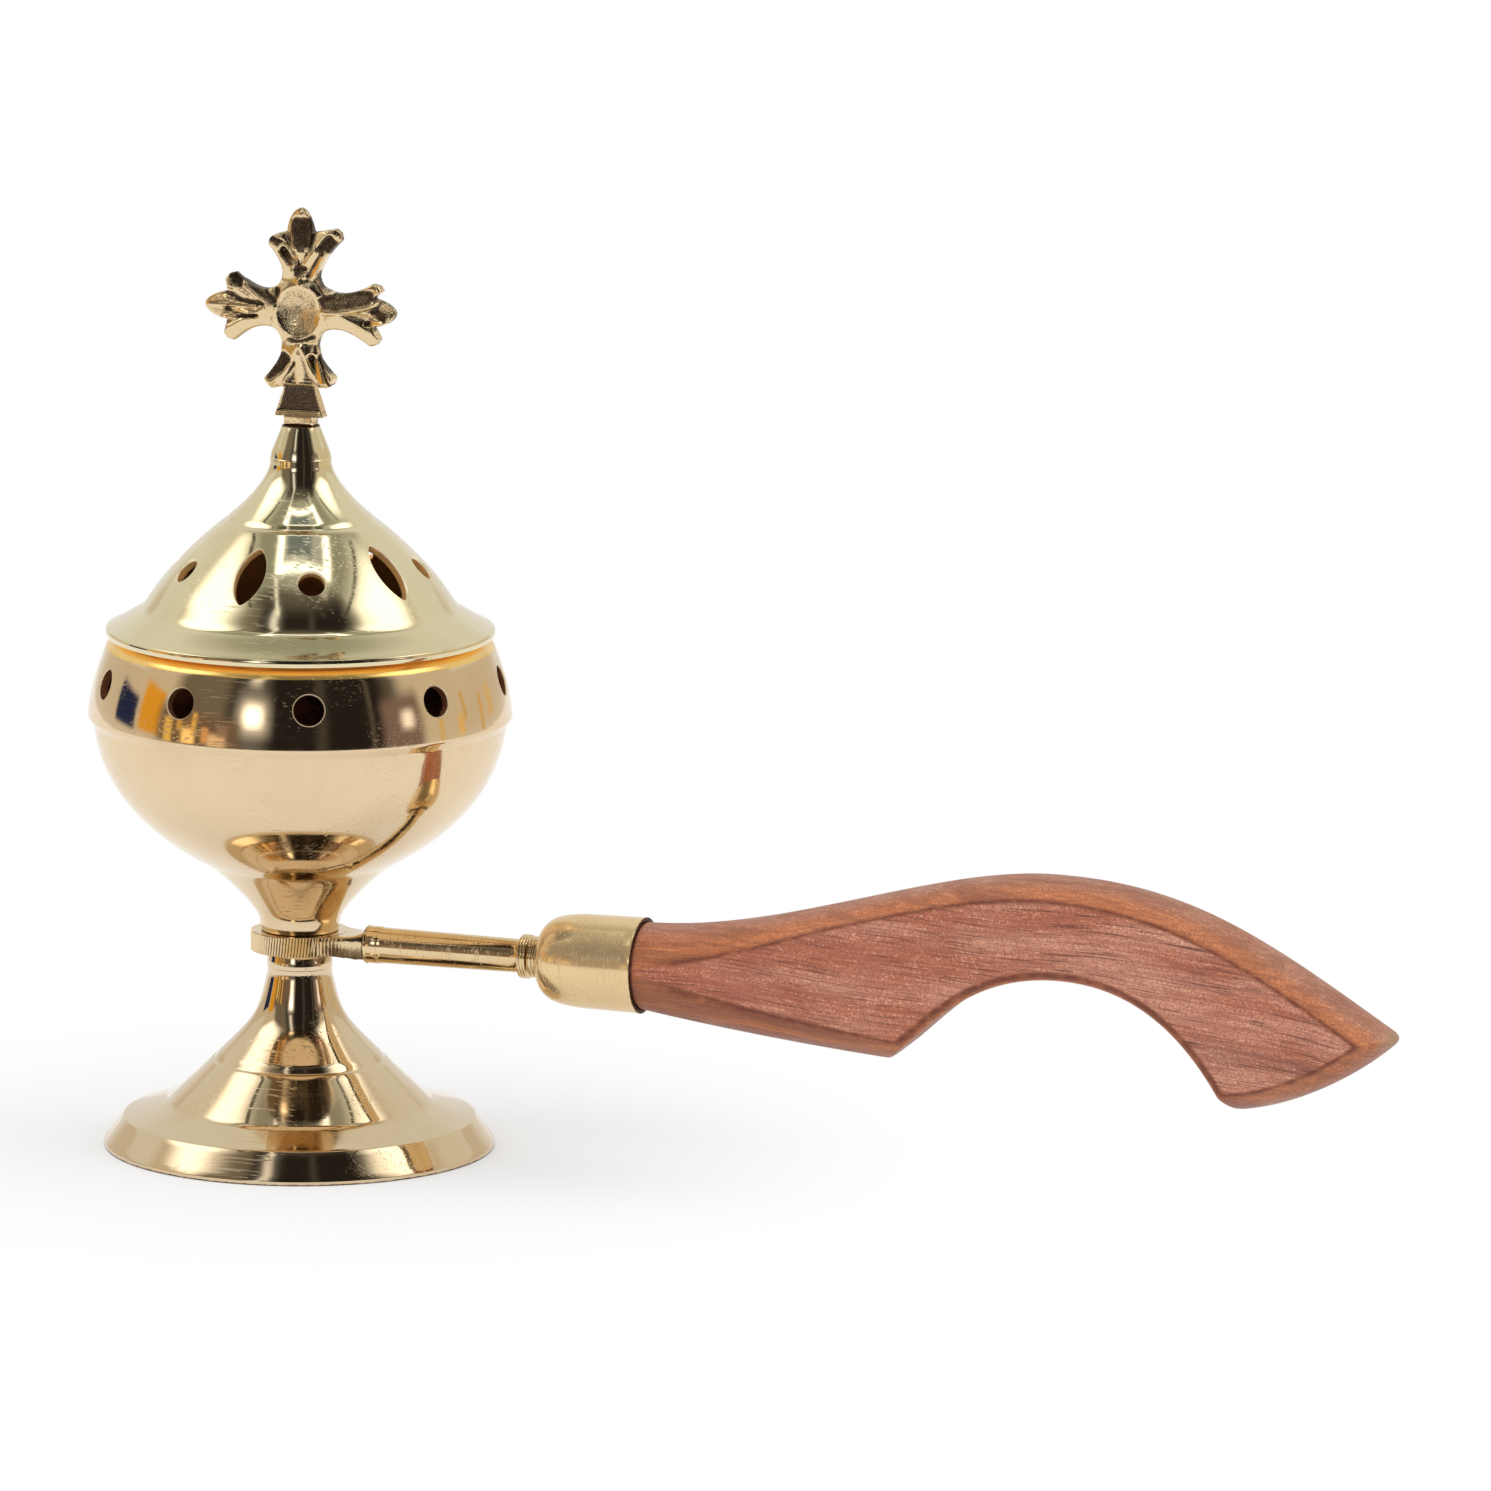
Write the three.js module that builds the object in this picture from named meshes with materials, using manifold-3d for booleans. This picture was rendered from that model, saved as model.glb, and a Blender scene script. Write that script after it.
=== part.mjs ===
// Hand censer: a turned brass bowl on a hollow foot, a pierced lid with a cast cross,
// and a carved wooden grip on a brass rod that is clamped between the foot and the bowl.
// Millimetres, +Z up, foot on z = 0, handle along +X.
import * as THREE from 'three';
import { mergeVertices } from 'three/addons/utils/BufferGeometryUtils.js';
import Module from 'manifold-3d';

// Clearances
const fitGap = 0.3;
const seatGap = 0.3;
const boreEndGap = 0.5;

// Foot
const footRimRadius = 41.4;
const footRimHeight = 0.9;
const footRimLand = 3;
const plateEdgeRadius = 37.3;
const plateEdgeHeight = 6.4;
const flareBaseRadius = 28.2;
const flareBaseHeight = 9.2;
const footGrooveRadius = 18.2;
const footGrooveHeight = 18.9;
const footGrooveDepth = 0.4;
const neckRadius = 6.85;
const neckStartHeight = 37.2;
const footHeight = 42.1;
const footWall = 2.4;
const footCeilingHeight = 25.4;

// Threaded stud that draws foot, eye and bowl together, with its washer and nut
const studRadius = 2.8;
const studInBowl = 10.5;
const studBelowNut = 1.6;
const studChamfer = 0.5;
const washerRadius = 6.6;
const washerThickness = 1.2;
const nutAcrossFlats = 10;
const nutHeight = 5;

// Knurled eye and its tongue
const eyeRadius = 10.4;
const eyeThickness = 4.2;
const knurlCount = 48;
const knurlDepth = 0.45;
const tongueHalfWidth = 6;
const tongueEdge = 5;
const pegRadius = 1.8;
const pegLength = 9;

// Turned rod
const rodStart = 15.2;
const rodBandRadius = 3.95;
const rodBandLength = 3.2;
const rodStartRadius = 3.8;
const rodEndRadius = 3.55;
const rodTurnedLength = 34.9;
const largeCollarRadius = 4.65;
const largeCollarLength = 2.2;
const smallCollarRadius = 4.4;
const smallCollarLength = 1.9;
const collarGroove = 0.3;

// Ferrule and the tang that pins rod, ferrule and grip together
const ferruleRadius = 10.15;
const ferruleFlare = 0.25;
const ferruleFrontRadius = 4.9;
const ferruleDomeLength = 9.5;
const ferruleLength = 22.9;
const ferruleWall = 0.9;
const tangRadius = 2;
const tangInRod = 11;
const tangInGrip = 35;

// Wooden grip, places counted from the ferrule's rim and the handle's axis
const gripHalfThickness = 9;
const gripStartRadius = 9.2;
const gripLength = 164.1;
const gripTipDrop = 3.1;
const crownReach = 89;
const crownRise = 25.8;
const heelReach = 54.8;
const heelDrop = 15.3;
const archReach = 92.4;
const archRise = 5.2;
const toeReach = 129.4;
const toeDrop = 20.3;
const archSoftening = 1.6;
const startCrown = 8.9;
const neckCrown = 3.7;
const tipCrown = 4.2;
const endCrown = 4.5;
const heelCrown = 5.4;
const neckCrownShare = 0.22;
const tenonChamfer = 1.5;
const tenonOverlap = 2;

// Bowl
const bowlBaseRadius = 8.1;
const bowlCollarRadius = 8.6;
const bowlCollarHeight = 2.7;
const bowlWaistRadius = 20;
const bowlWaistHeight = 14.8;
const bellyRadius = 43.55;
const bellyHeight = 44.7;
const shoulderRadius = 44.75;
const shoulderHeight = 46.3;
const mouthRadius = 39.7;
const bowlHeight = 63.1;
const bowlWall = 2;
const bowlFloorThickness = 3;
const bowlFloorRadius = 13;
const ventCount = 10;
const ventRadius = 3.45;
const ventHeight = 55;
const ventLag = 7.2;
const ventDrift = 4.6;
const ventDriftLag = 33;

// Lift-out pan
const panRimRise = 13.6;
const panFloorRise = 5.6;
const panWall = 1;
const panHoleRadius = 1.5;
const panHoleRing = 14;
const panHoleCount = 8;

// Lid
const spigotDepth = 4;
const spigotWall = 1.5;
const brimRadius = 41;
const brimThickness = 1.6;
const brimRound = 0.35;
const coneBaseRadius = 34.3;
const coneBaseRise = 5.2;
const lidGrooveRadius = 15.75;
const lidGrooveRise = 24.8;
const lidGrooveDepth = 0.4;
const lidNeckRadius = 6.5;
const lidNeckRise = 36.6;
const lidNeckLand = 1.6;
const lidTopRadius = 3.9;
const lidTopRise = 44.6;
const lidWall = 1.8;
const lidHollowRise = 30.5;
const lidHoleCount = 5;
const roundHoleRadius = 3.1;
const roundHoleRise = 15.3;
const roundHoleLag = 7.4;
const leafLength = 15.2;
const leafWidth = 7.2;
const leafRise = 16.3;
const leafLag = 49.3;
const lidDrillReach = 6;

// Cast cross
const crossReach = 21.3;
const crossRise = 24.6;
const crossThickness = 4;
const crossBevel = 0.9;
const crotchReach = 4.9;
const waistPull = { along: 2.3, inward: 1.7 };
const lobeRound = 1.5;
const notchReach = 16.3;
const notchSpread = 2.9;
const petalSwell = 2.2;
const petalGroove = 1.1;
const dishRadius = 5.2;
const dishDepth = 1.3;
const crossFootHeight = 7.6;
const crossFootHalfWidth = 5.5;
const crossBlockHeight = 1.9;
const crossBlockHalfWidth = 3.3;
const crossPegRadius = 1.5;
const crossPegLength = 6;

// The cross is filed by hand, so its side lobes differ: reach and spread of the two on each arm,
// from the arm along +X round by quarter turns
const crossLobes = [
  { left: [17.6, 6.1], right: [17.1, 7.1] },
  { left: [14.8, 7.1], right: [16.5, 9.4] },
  { left: [16.2, 7.4], right: [15.8, 7.1] },
  { left: [15.7, 7.6], right: [16.3, 7.7] },
];

// Screen bearing of the photographed side, from which hole rows are turned
const frontBearing = -71.6;

// Shape of the free-flowing curves: leaving and arriving slopes in degrees, and how hard each pulls
const footFlareLower = { leave: 135, arrive: 133, out: 0.3, in: 0.3 };
const footFlareUpper = { leave: 140, arrive: 90, out: 0.5, in: 0.2 };
const bowlStemBend = { leave: 80, arrive: 31, out: 0.16, in: 0.2 };
const bowlBellyBend = { leave: 28, arrive: 84, out: 0.4, in: 0.35 };
const bowlShoulderBend = { leave: 87.5, arrive: 122, out: 0.3, in: 0.2 };
const lidConeBend = { leave: 126, arrive: 139, out: 0.5, in: 0.38 };
const lidFlareBend = { leave: 141, arrive: 90, out: 0.5, in: 0.2 };
const ferruleDomeBend = { leave: 20, arrive: 86, out: 0.35, in: 0.6 };
const gripTopStartBend = { leave: 0, arrive: 0, out: 0.34, in: 0.29 };
const gripTopEndBend = { leave: 0, arrive: -32, out: 0.37, in: 0.42 };
const gripEndBend = { leave: -136, arrive: -174, out: 0.27, in: 0.36 };
const gripArchEndBend = { leave: 119, arrive: 180, out: 0.45, in: 0.34 };
const gripArchStartBend = { leave: 180, arrive: 219, out: 0.45, in: 0.3 };
const gripBottomBend = { leave: 176, arrive: 171, out: 0.4, in: 0.2 };

// Facets
const vesselSides = 32;
const handleSides = 22;
const smallSides = 16;
const drillSides = 12;
const weldDistance = 1e-5;

// Derived places
const bowlBase = footHeight + eyeThickness;
const handleHeight = footHeight + eyeThickness / 2;
const mouthTop = bowlBase + bowlHeight;
const lidBase = mouthTop + seatGap;
const crossBase = lidBase + lidTopRise;
const crossCentre = crossBase + crossRise;
const tongueStart = bowlBaseRadius + fitGap;
const rodEnd = rodStart + rodTurnedLength + largeCollarLength + smallCollarLength;
const ferruleRim = rodEnd + ferruleLength;
const gripTenonLength = ferruleLength - ferruleDomeLength;
const gripTip = ferruleRim + gripLength;
const studHoleTop = bowlBase + studInBowl + boreEndGap;
const bowlFloor = studHoleTop + bowlFloorThickness;
const vesselAxisX = (shoulderRadius - gripTip) / 2;

const wasm = await Module();
wasm.setup();

const { degToRad, lerp } = THREE.MathUtils;

// Booleans

function toSolid(geometry) {
  const bare = geometry.clone();
  bare.deleteAttribute('normal');
  bare.deleteAttribute('uv');
  const merged = mergeVertices(bare, weldDistance);
  const index = merged.index.array;
  const triangles = [];
  for (let i = 0; i < index.length; i += 3) {
    const [a, b, c] = [index[i], index[i + 1], index[i + 2]];
    if (a !== b && b !== c && c !== a) triangles.push(a, b, c);
  }
  return new wasm.Manifold(new wasm.Mesh({
    numProp: 3,
    vertProperties: new Float32Array(merged.attributes.position.array),
    triVerts: new Uint32Array(triangles),
  }));
}

function toGeometry(solid) {
  const mesh = solid.getMesh();
  const geometry = new THREE.BufferGeometry();
  geometry.setAttribute('position', new THREE.BufferAttribute(mesh.vertProperties, 3));
  geometry.setIndex(new THREE.BufferAttribute(mesh.triVerts, 1));
  geometry.computeVertexNormals();
  return geometry;
}

function join(base, ...others) {
  return toGeometry(others.reduce((solid, other) => solid.add(toSolid(other)), toSolid(base)));
}

function cut(base, ...tools) {
  return toGeometry(tools.reduce((solid, tool) => solid.subtract(toSolid(tool)), toSolid(base)));
}

// Outlines

function bend(from, to, shape, steps) {
  const chord = from.distanceTo(to);
  const leave = degToRad(shape.leave);
  const arrive = degToRad(shape.arrive);
  const pull = new THREE.Vector2(Math.cos(leave), Math.sin(leave)).multiplyScalar(shape.out * chord);
  const push = new THREE.Vector2(Math.cos(arrive), Math.sin(arrive)).multiplyScalar(shape.in * chord);
  const curve = new THREE.CubicBezierCurve(from, from.clone().add(pull), to.clone().sub(push), to);
  return curve.getPoints(steps);
}

function offset(points, distance) {
  return points.map((point, i) => {
    const before = points[Math.max(i - 1, 0)];
    const after = points[Math.min(i + 1, points.length - 1)];
    const along = after.clone().sub(before).normalize();
    return new THREE.Vector2(point.x + along.y * distance, point.y - along.x * distance);
  });
}

function point(r, z) {
  return new THREE.Vector2(r, z);
}

function raised(points, height) {
  return points.map((each) => point(each.x, each.y + height));
}

function radiusAt(points, height) {
  for (let i = 1; i < points.length; i += 1) {
    const [low, high] = [points[i - 1], points[i]];
    if (height >= low.y && height <= high.y) {
      const share = (height - low.y) / (high.y - low.y);
      return low.x + share * (high.x - low.x);
    }
  }
  return points[points.length - 1].x;
}

function slopeAt(points, height) {
  const step = 0.5;
  return Math.atan2(2 * step, radiusAt(points, height - step) - radiusAt(points, height + step));
}

// Turned pieces: a profile of radius and height, counter-clockwise round the material

function turned(profile, sides = vesselSides) {
  return new THREE.LatheGeometry(profile, sides).rotateX(Math.PI / 2);
}

function turnedOnHandle(profile, sides = handleSides) {
  return turned(profile, sides).rotateY(Math.PI / 2).translate(0, 0, handleHeight);
}

function rodBetween(radius, start, end, sides = smallSides) {
  return turned([point(0, start), point(radius, start), point(radius, end), point(0, end)], sides);
}

function onHandle(geometry) {
  return geometry.rotateY(Math.PI / 2).translate(0, 0, handleHeight);
}

// Foot

function footOuterCurve() {
  const plateTop = point(flareBaseRadius, flareBaseHeight);
  const groove = point(footGrooveRadius, footGrooveHeight);
  const neck = point(neckRadius, neckStartHeight);
  return {
    lower: bend(plateTop, groove, footFlareLower, 2),
    upper: bend(groove, neck, footFlareUpper, 6),
  };
}

function makeFoot() {
  const { lower, upper } = footOuterCurve();
  const outside = [
    point(footRimRadius, 0),
    point(footRimRadius, footRimHeight),
    point(plateEdgeRadius, plateEdgeHeight),
    ...lower.slice(0, -1),
    point(footGrooveRadius + footGrooveDepth / 2, footGrooveHeight - footGrooveDepth),
    point(footGrooveRadius - footGrooveDepth, footGrooveHeight),
    ...upper.slice(1),
    point(neckRadius, footHeight),
  ];
  const boreRadius = studRadius + fitGap;
  const shell = [point(plateEdgeRadius, plateEdgeHeight), ...lower, ...upper.slice(1)];
  const inside = offset(shell, -footWall).filter((each) => each.y < footCeilingHeight - 1);
  const ceilingRadius = radiusAt(offset(upper, -footWall), footCeilingHeight);
  const profile = [
    point(boreRadius, footCeilingHeight),
    point(ceilingRadius, footCeilingHeight),
    ...inside.reverse(),
    point(footRimRadius - footRimLand, 0),
    ...outside,
    point(boreRadius, footHeight),
    point(boreRadius, footCeilingHeight),
  ];
  return turned(profile);
}

// Stud, washer and nut under the foot's ceiling

const washerBase = footCeilingHeight - washerThickness;
const nutBase = washerBase - nutHeight;

function makeStud() {
  const [start, end] = [nutBase - studBelowNut, bowlBase + studInBowl];
  return turned([
    point(0, start),
    point(studRadius - studChamfer, start),
    point(studRadius, start + studChamfer),
    point(studRadius, end - studChamfer),
    point(studRadius - studChamfer, end),
    point(0, end),
  ], smallSides);
}

function makeWasher() {
  const bore = studRadius + fitGap;
  return turned([
    point(bore, washerBase),
    point(washerRadius, washerBase),
    point(washerRadius, footCeilingHeight),
    point(bore, footCeilingHeight),
    point(bore, washerBase),
  ], smallSides);
}

function makeNut() {
  const shape = new THREE.Shape();
  const cornerRadius = nutAcrossFlats / Math.sqrt(3);
  for (let i = 0; i < 6; i += 1) {
    const angle = i * Math.PI / 3;
    shape[i ? 'lineTo' : 'moveTo'](cornerRadius * Math.cos(angle), cornerRadius * Math.sin(angle));
  }
  const bore = new THREE.Path().absarc(0, 0, studRadius + fitGap, 0, 2 * Math.PI, true);
  shape.holes.push(bore);
  const options = { depth: nutHeight, bevelEnabled: false, curveSegments: smallSides };
  return new THREE.ExtrudeGeometry(shape, options).translate(0, 0, nutBase);
}

// Knurled eye with the tongue that reaches the rod

function stackRings(rings, capTriangles) {
  const count = rings[0].length;
  const positions = rings.flat().flatMap((each) => [each.x, each.y, each.z]);
  const index = [];
  for (let r = 0; r < rings.length - 1; r += 1) {
    for (let i = 0; i < count; i += 1) {
      const [a, b] = [r * count + i, r * count + (i + 1) % count];
      index.push(a, b, b + count, a, b + count, a + count);
    }
  }
  const last = (rings.length - 1) * count;
  for (const [a, b, c] of capTriangles) {
    index.push(c, b, a, last + a, last + b, last + c);
  }
  const geometry = new THREE.BufferGeometry();
  geometry.setAttribute('position', new THREE.Float32BufferAttribute(positions, 3));
  geometry.setIndex(index);
  geometry.computeVertexNormals();
  return geometry;
}

function tongueSection(x, halfWidth, halfHeight, squareness) {
  const ring = [];
  for (let i = 0; i < smallSides; i += 1) {
    const angle = 2 * Math.PI * i / smallSides;
    const [across, up] = [Math.cos(angle), Math.sin(angle)];
    const y = halfWidth * Math.sign(across) * Math.abs(across) ** (2 / squareness);
    const z = halfHeight * Math.sign(up) * Math.abs(up) ** (2 / squareness);
    ring.push(new THREE.Vector3(x, y, handleHeight + z));
  }
  return ring;
}

function makeTongue() {
  const rings = [];
  const steps = 4;
  for (let i = 0; i <= steps; i += 1) {
    const share = i / steps;
    const eased = share * share * (3 - 2 * share);
    rings.push(tongueSection(
      lerp(tongueStart, rodStart, share),
      lerp(tongueHalfWidth, rodBandRadius - fitGap, eased),
      lerp(eyeThickness / 2, rodBandRadius - fitGap, share * share),
      lerp(tongueEdge, 2, share),
    ));
  }
  const fan = [];
  for (let i = 1; i < smallSides - 1; i += 1) fan.push([0, i, i + 1]);
  return stackRings(rings, fan);
}

function makeEye() {
  const shape = new THREE.Shape();
  for (let i = 0; i < 2 * knurlCount; i += 1) {
    const angle = i * Math.PI / knurlCount;
    const radius = i % 2 ? eyeRadius - knurlDepth : eyeRadius;
    shape[i ? 'lineTo' : 'moveTo'](radius * Math.cos(angle), radius * Math.sin(angle));
  }
  const ring = new THREE.ExtrudeGeometry(shape, { depth: eyeThickness, bevelEnabled: false });
  ring.translate(0, 0, footHeight);
  const peg = onHandle(rodBetween(pegRadius, rodStart - 1, rodStart + pegLength));
  const bore = rodBetween(studRadius + fitGap, footHeight - 1, bowlBase + 1);
  return cut(join(ring, makeTongue(), peg), bore);
}

// Rod, ferrule and tang along the handle's axis

function makeRod() {
  const pegBore = pegRadius + fitGap;
  const pegBoreEnd = rodStart + pegLength + boreEndGap;
  const tangBore = tangRadius + fitGap;
  const turnedEnd = rodStart + rodTurnedLength;
  const largeEnd = turnedEnd + largeCollarLength;
  return turnedOnHandle([
    point(0, pegBoreEnd),
    point(pegBore, pegBoreEnd),
    point(pegBore, rodStart),
    point(rodBandRadius, rodStart),
    point(rodBandRadius, rodStart + rodBandLength),
    point(rodStartRadius, rodStart + rodBandLength),
    point(rodEndRadius, turnedEnd),
    point(largeCollarRadius, turnedEnd),
    point(largeCollarRadius, largeEnd - collarGroove),
    point(smallCollarRadius - collarGroove, largeEnd),
    point(smallCollarRadius, largeEnd + collarGroove),
    point(smallCollarRadius, rodEnd),
    point(tangBore, rodEnd),
    point(tangBore, rodEnd - tangInRod - boreEndGap),
    point(0, rodEnd - tangInRod - boreEndGap),
  ]);
}

function makeFerrule() {
  const front = point(ferruleFrontRadius, rodEnd);
  const domeEnd = point(ferruleRadius - ferruleFlare, rodEnd + ferruleDomeLength);
  const dome = bend(front, domeEnd, ferruleDomeBend, 6);
  const outside = [...dome, point(ferruleRadius, ferruleRim)];
  const inside = offset(dome, -ferruleWall).filter((each) => each.y > rodEnd + ferruleWall);
  const bore = tangRadius + fitGap;
  return turnedOnHandle([
    point(bore, rodEnd),
    ...outside,
    point(ferruleRadius - ferruleWall, ferruleRim),
    ...inside.reverse(),
    point(bore, rodEnd + ferruleWall),
    point(bore, rodEnd),
  ]);
}

function makeTang() {
  return onHandle(rodBetween(tangRadius, rodEnd - tangInRod, ferruleRim + tangInGrip));
}

// Wooden grip: a bow-shaped plate whose outer edges are crowned and whose arch is softened

function crownDepth(rise, y) {
  const radius = (gripHalfThickness ** 2 + rise ** 2) / (2 * rise);
  return radius - Math.sqrt(radius ** 2 - y ** 2);
}

function softDepth(radius, y) {
  const into = y - (gripHalfThickness - radius);
  return into > 0 ? radius - Math.sqrt(Math.max(radius ** 2 - into ** 2, 0)) : 0;
}

function gripEdges() {
  const start = ferruleRim + fitGap;
  const top = point(start, handleHeight + gripStartRadius);
  const crown = point(ferruleRim + crownReach, handleHeight + crownRise);
  const tip = point(gripTip, handleHeight - gripTipDrop);
  const toe = point(ferruleRim + toeReach, handleHeight - toeDrop);
  const arch = point(ferruleRim + archReach, handleHeight + archRise);
  const heel = point(ferruleRim + heelReach, handleHeight - heelDrop);
  const bottom = point(start, handleHeight - gripStartRadius);
  const topCrown = (share) => {
    const settled = Math.min(share / neckCrownShare, 1) ** 0.6;
    const swelling = Math.max(share - neckCrownShare, 0) / (1 - neckCrownShare);
    return lerp(lerp(startCrown, neckCrown, settled), tipCrown, swelling);
  };
  const soft = (share, y) => softDepth(archSoftening, y);
  return [
    {
      points: [...bend(top, crown, gripTopStartBend, 16), ...bend(crown, tip, gripTopEndBend, 16).slice(1)],
      depth: (share, y) => crownDepth(topCrown(share), y),
      steps: 24,
    },
    { points: bend(tip, toe, gripEndBend, 10), depth: (share, y) => crownDepth(endCrown, y), steps: 6 },
    {
      points: [...bend(toe, arch, gripArchEndBend, 14), ...bend(arch, heel, gripArchStartBend, 14).slice(1)],
      depth: soft,
      steps: 18,
    },
    {
      points: bend(heel, bottom, gripBottomBend, 10),
      depth: (share, y) => crownDepth(lerp(heelCrown, startCrown, share), y),
      steps: 6,
    },
    { points: [bottom, top], depth: () => 0, steps: 1 },
  ];
}

function offsetEdge({ points, depth }, y) {
  const last = points.length - 1;
  const shifted = points.map((each, i) => {
    const along = points[Math.min(i + 1, last)].clone().sub(points[Math.max(i - 1, 0)]).normalize();
    return each.clone().addScaledVector(point(along.y, -along.x), depth(i / last, y));
  });
  const lead = shifted[0].clone().sub(shifted[1]).setLength(gripHalfThickness).add(shifted[0]);
  const trail = shifted[last].clone().sub(shifted[last - 1]).setLength(gripHalfThickness).add(shifted[last]);
  return [lead, ...shifted, trail];
}

function crossing(first, second) {
  for (let i = first.length - 2; i >= 0; i -= 1) {
    const along = first[i + 1].clone().sub(first[i]);
    for (let j = 0; j < second.length - 1; j += 1) {
      const over = second[j + 1].clone().sub(second[j]);
      const between = second[j].clone().sub(first[i]);
      const turn = along.cross(over);
      const [s, t] = [between.cross(over) / turn, between.cross(along) / turn];
      if (s >= 0 && s <= 1 && t >= 0 && t <= 1) {
        return { before: i, after: j + 1, at: first[i].clone().addScaledVector(along, s) };
      }
    }
  }
  return undefined;
}

function insetLoop(edges, y) {
  const shifted = edges.map((edge) => offsetEdge(edge, y));
  const corners = shifted.map((each, i) => crossing(each, shifted[(i + 1) % edges.length]));
  return edges.flatMap((edge, i) => {
    const start = corners[(i + edges.length - 1) % edges.length];
    const end = corners[i];
    const kept = [start.at, ...shifted[i].slice(start.after, end.before + 1), end.at];
    return new THREE.Path().setFromPoints(kept).getSpacedPoints(edge.steps).slice(0, -1);
  });
}

function makeGrip() {
  const levels = [0.45, 0.75, 0.9, 0.97, 1];
  const heights = [...levels.map((each) => -each).reverse(), 0, ...levels];
  const edges = gripEdges();
  const loops = heights.map((level) => insetLoop(edges, Math.abs(level) * gripHalfThickness));
  const rings = loops.map((loop, i) => loop.map(
    (each) => new THREE.Vector3(each.x, heights[i] * gripHalfThickness, each.y),
  ));
  const caps = THREE.ShapeUtils.triangulateShape(loops[0], []).map((face) => face.reverse());
  const plate = stackRings(rings, caps);
  const tenonRadius = ferruleRadius - ferruleFlare - ferruleWall - fitGap;
  const tenonStart = ferruleRim - gripTenonLength;
  const tenon = onHandle(turned([
    point(0, tenonStart),
    point(tenonRadius - tenonChamfer, tenonStart),
    point(tenonRadius, tenonStart + tenonChamfer),
    point(tenonRadius, ferruleRim + tenonOverlap),
    point(0, ferruleRim + tenonOverlap),
  ], handleSides));
  const boreStart = tenonStart - 1;
  const boreEnd = ferruleRim + tangInGrip + boreEndGap;
  const bore = onHandle(rodBetween(tangRadius + fitGap, boreStart, boreEnd));
  return cut(join(plate, tenon), bore);
}

// Bowl

function bowlOutsideCurve() {
  const collar = point(bowlCollarRadius, bowlCollarHeight);
  const waist = point(bowlWaistRadius, bowlWaistHeight);
  const belly = point(bellyRadius, bellyHeight);
  const shoulder = point(shoulderRadius, shoulderHeight);
  const mouth = point(mouthRadius, bowlHeight);
  return {
    stem: raised(bend(collar, waist, bowlStemBend, 3), bowlBase),
    belly: raised(bend(waist, belly, bowlBellyBend, 6), bowlBase),
    shoulder: raised(bend(shoulder, mouth, bowlShoulderBend, 4), bowlBase),
  };
}

function bowlInsideCurve(gap = 0) {
  const { belly, shoulder } = bowlOutsideCurve();
  return [...offset(belly, -bowlWall - gap), ...offset(shoulder, -bowlWall - gap)];
}

function radialDrill(radius, height, reach) {
  return rodBetween(radius, reach / 2, reach, drillSides).rotateY(Math.PI / 2).translate(0, 0, height);
}

function makeBowl() {
  const { stem, belly, shoulder } = bowlOutsideCurve();
  const inside = bowlInsideCurve();
  const studBore = studRadius + fitGap;
  const walls = inside.filter((each) => each.y > bowlFloor + 0.5 && each.y < mouthTop - 0.5);
  const body = turned([
    point(0, studHoleTop),
    point(studBore, studHoleTop),
    point(studBore, bowlBase),
    point(bowlBaseRadius, bowlBase),
    ...stem,
    ...belly.slice(1),
    ...shoulder,
    point(inside[inside.length - 1].x, mouthTop),
    ...walls.reverse(),
    point(bowlFloorRadius, bowlFloor),
    point(0, bowlFloor),
  ]);
  const vents = [];
  for (let i = 0; i < ventCount; i += 1) {
    const pitch = i * 360 / ventCount;
    const drift = ventDrift * Math.sin(degToRad(pitch - ventDriftLag));
    const bearing = degToRad(frontBearing + ventLag + pitch + drift);
    vents.push(radialDrill(ventRadius, bowlBase + ventHeight, shoulderRadius + 2).rotateZ(bearing));
  }
  return cut(body, ...vents);
}

// Lift-out pan that nests against the bowl's inside wall

function makePan() {
  const wall = bowlInsideCurve(fitGap);
  const floorZ = bowlFloor + panFloorRise;
  const rimZ = bowlFloor + panRimRise;
  const nested = wall.filter((each) => each.y > floorZ + 0.5 && each.y < rimZ - 0.5);
  const rim = point(radiusAt(wall, rimZ), rimZ);
  const cornerRadius = radiusAt(wall, floorZ) - panWall;
  const outside = [point(cornerRadius, floorZ), ...nested, rim];
  const insideWall = offset(outside, -panWall);
  const body = turned([
    point(0, floorZ),
    ...outside,
    point(insideWall[insideWall.length - 1].x, rimZ),
    ...insideWall.slice(1, -1).reverse(),
    point(cornerRadius - panWall, floorZ + panWall),
    point(0, floorZ + panWall),
  ]);
  const holes = [rodBetween(panHoleRadius, floorZ - 1, floorZ + panWall + 1, drillSides)];
  for (let i = 0; i < panHoleCount; i += 1) {
    const bearing = 2 * Math.PI * i / panHoleCount;
    const [x, y] = [panHoleRing * Math.cos(bearing), panHoleRing * Math.sin(bearing)];
    holes.push(holes[0].clone().translate(x, y, 0));
  }
  return cut(body, ...holes);
}

// Lid

function lidOutsideCurve() {
  const coneBase = point(coneBaseRadius, coneBaseRise);
  const groove = point(lidGrooveRadius, lidGrooveRise);
  const neck = point(lidNeckRadius, lidNeckRise);
  return {
    cone: raised(bend(coneBase, groove, lidConeBend, 5), lidBase),
    flare: raised(bend(groove, neck, lidFlareBend, 4), lidBase),
  };
}

function leafBlank() {
  const [half, bulge] = [leafLength / 2, leafWidth / 2];
  const radius = (half ** 2 + bulge ** 2) / (2 * bulge);
  const sweep = Math.asin(half / radius);
  const shape = new THREE.Shape();
  shape.absarc(radius - bulge, 0, radius, Math.PI - sweep, Math.PI + sweep, false);
  shape.absarc(bulge - radius, 0, radius, -sweep, sweep, false);
  const options = { depth: 2 * lidDrillReach, bevelEnabled: false, curveSegments: 6 };
  return new THREE.ExtrudeGeometry(shape, options).translate(0, 0, -lidDrillReach);
}

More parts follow.
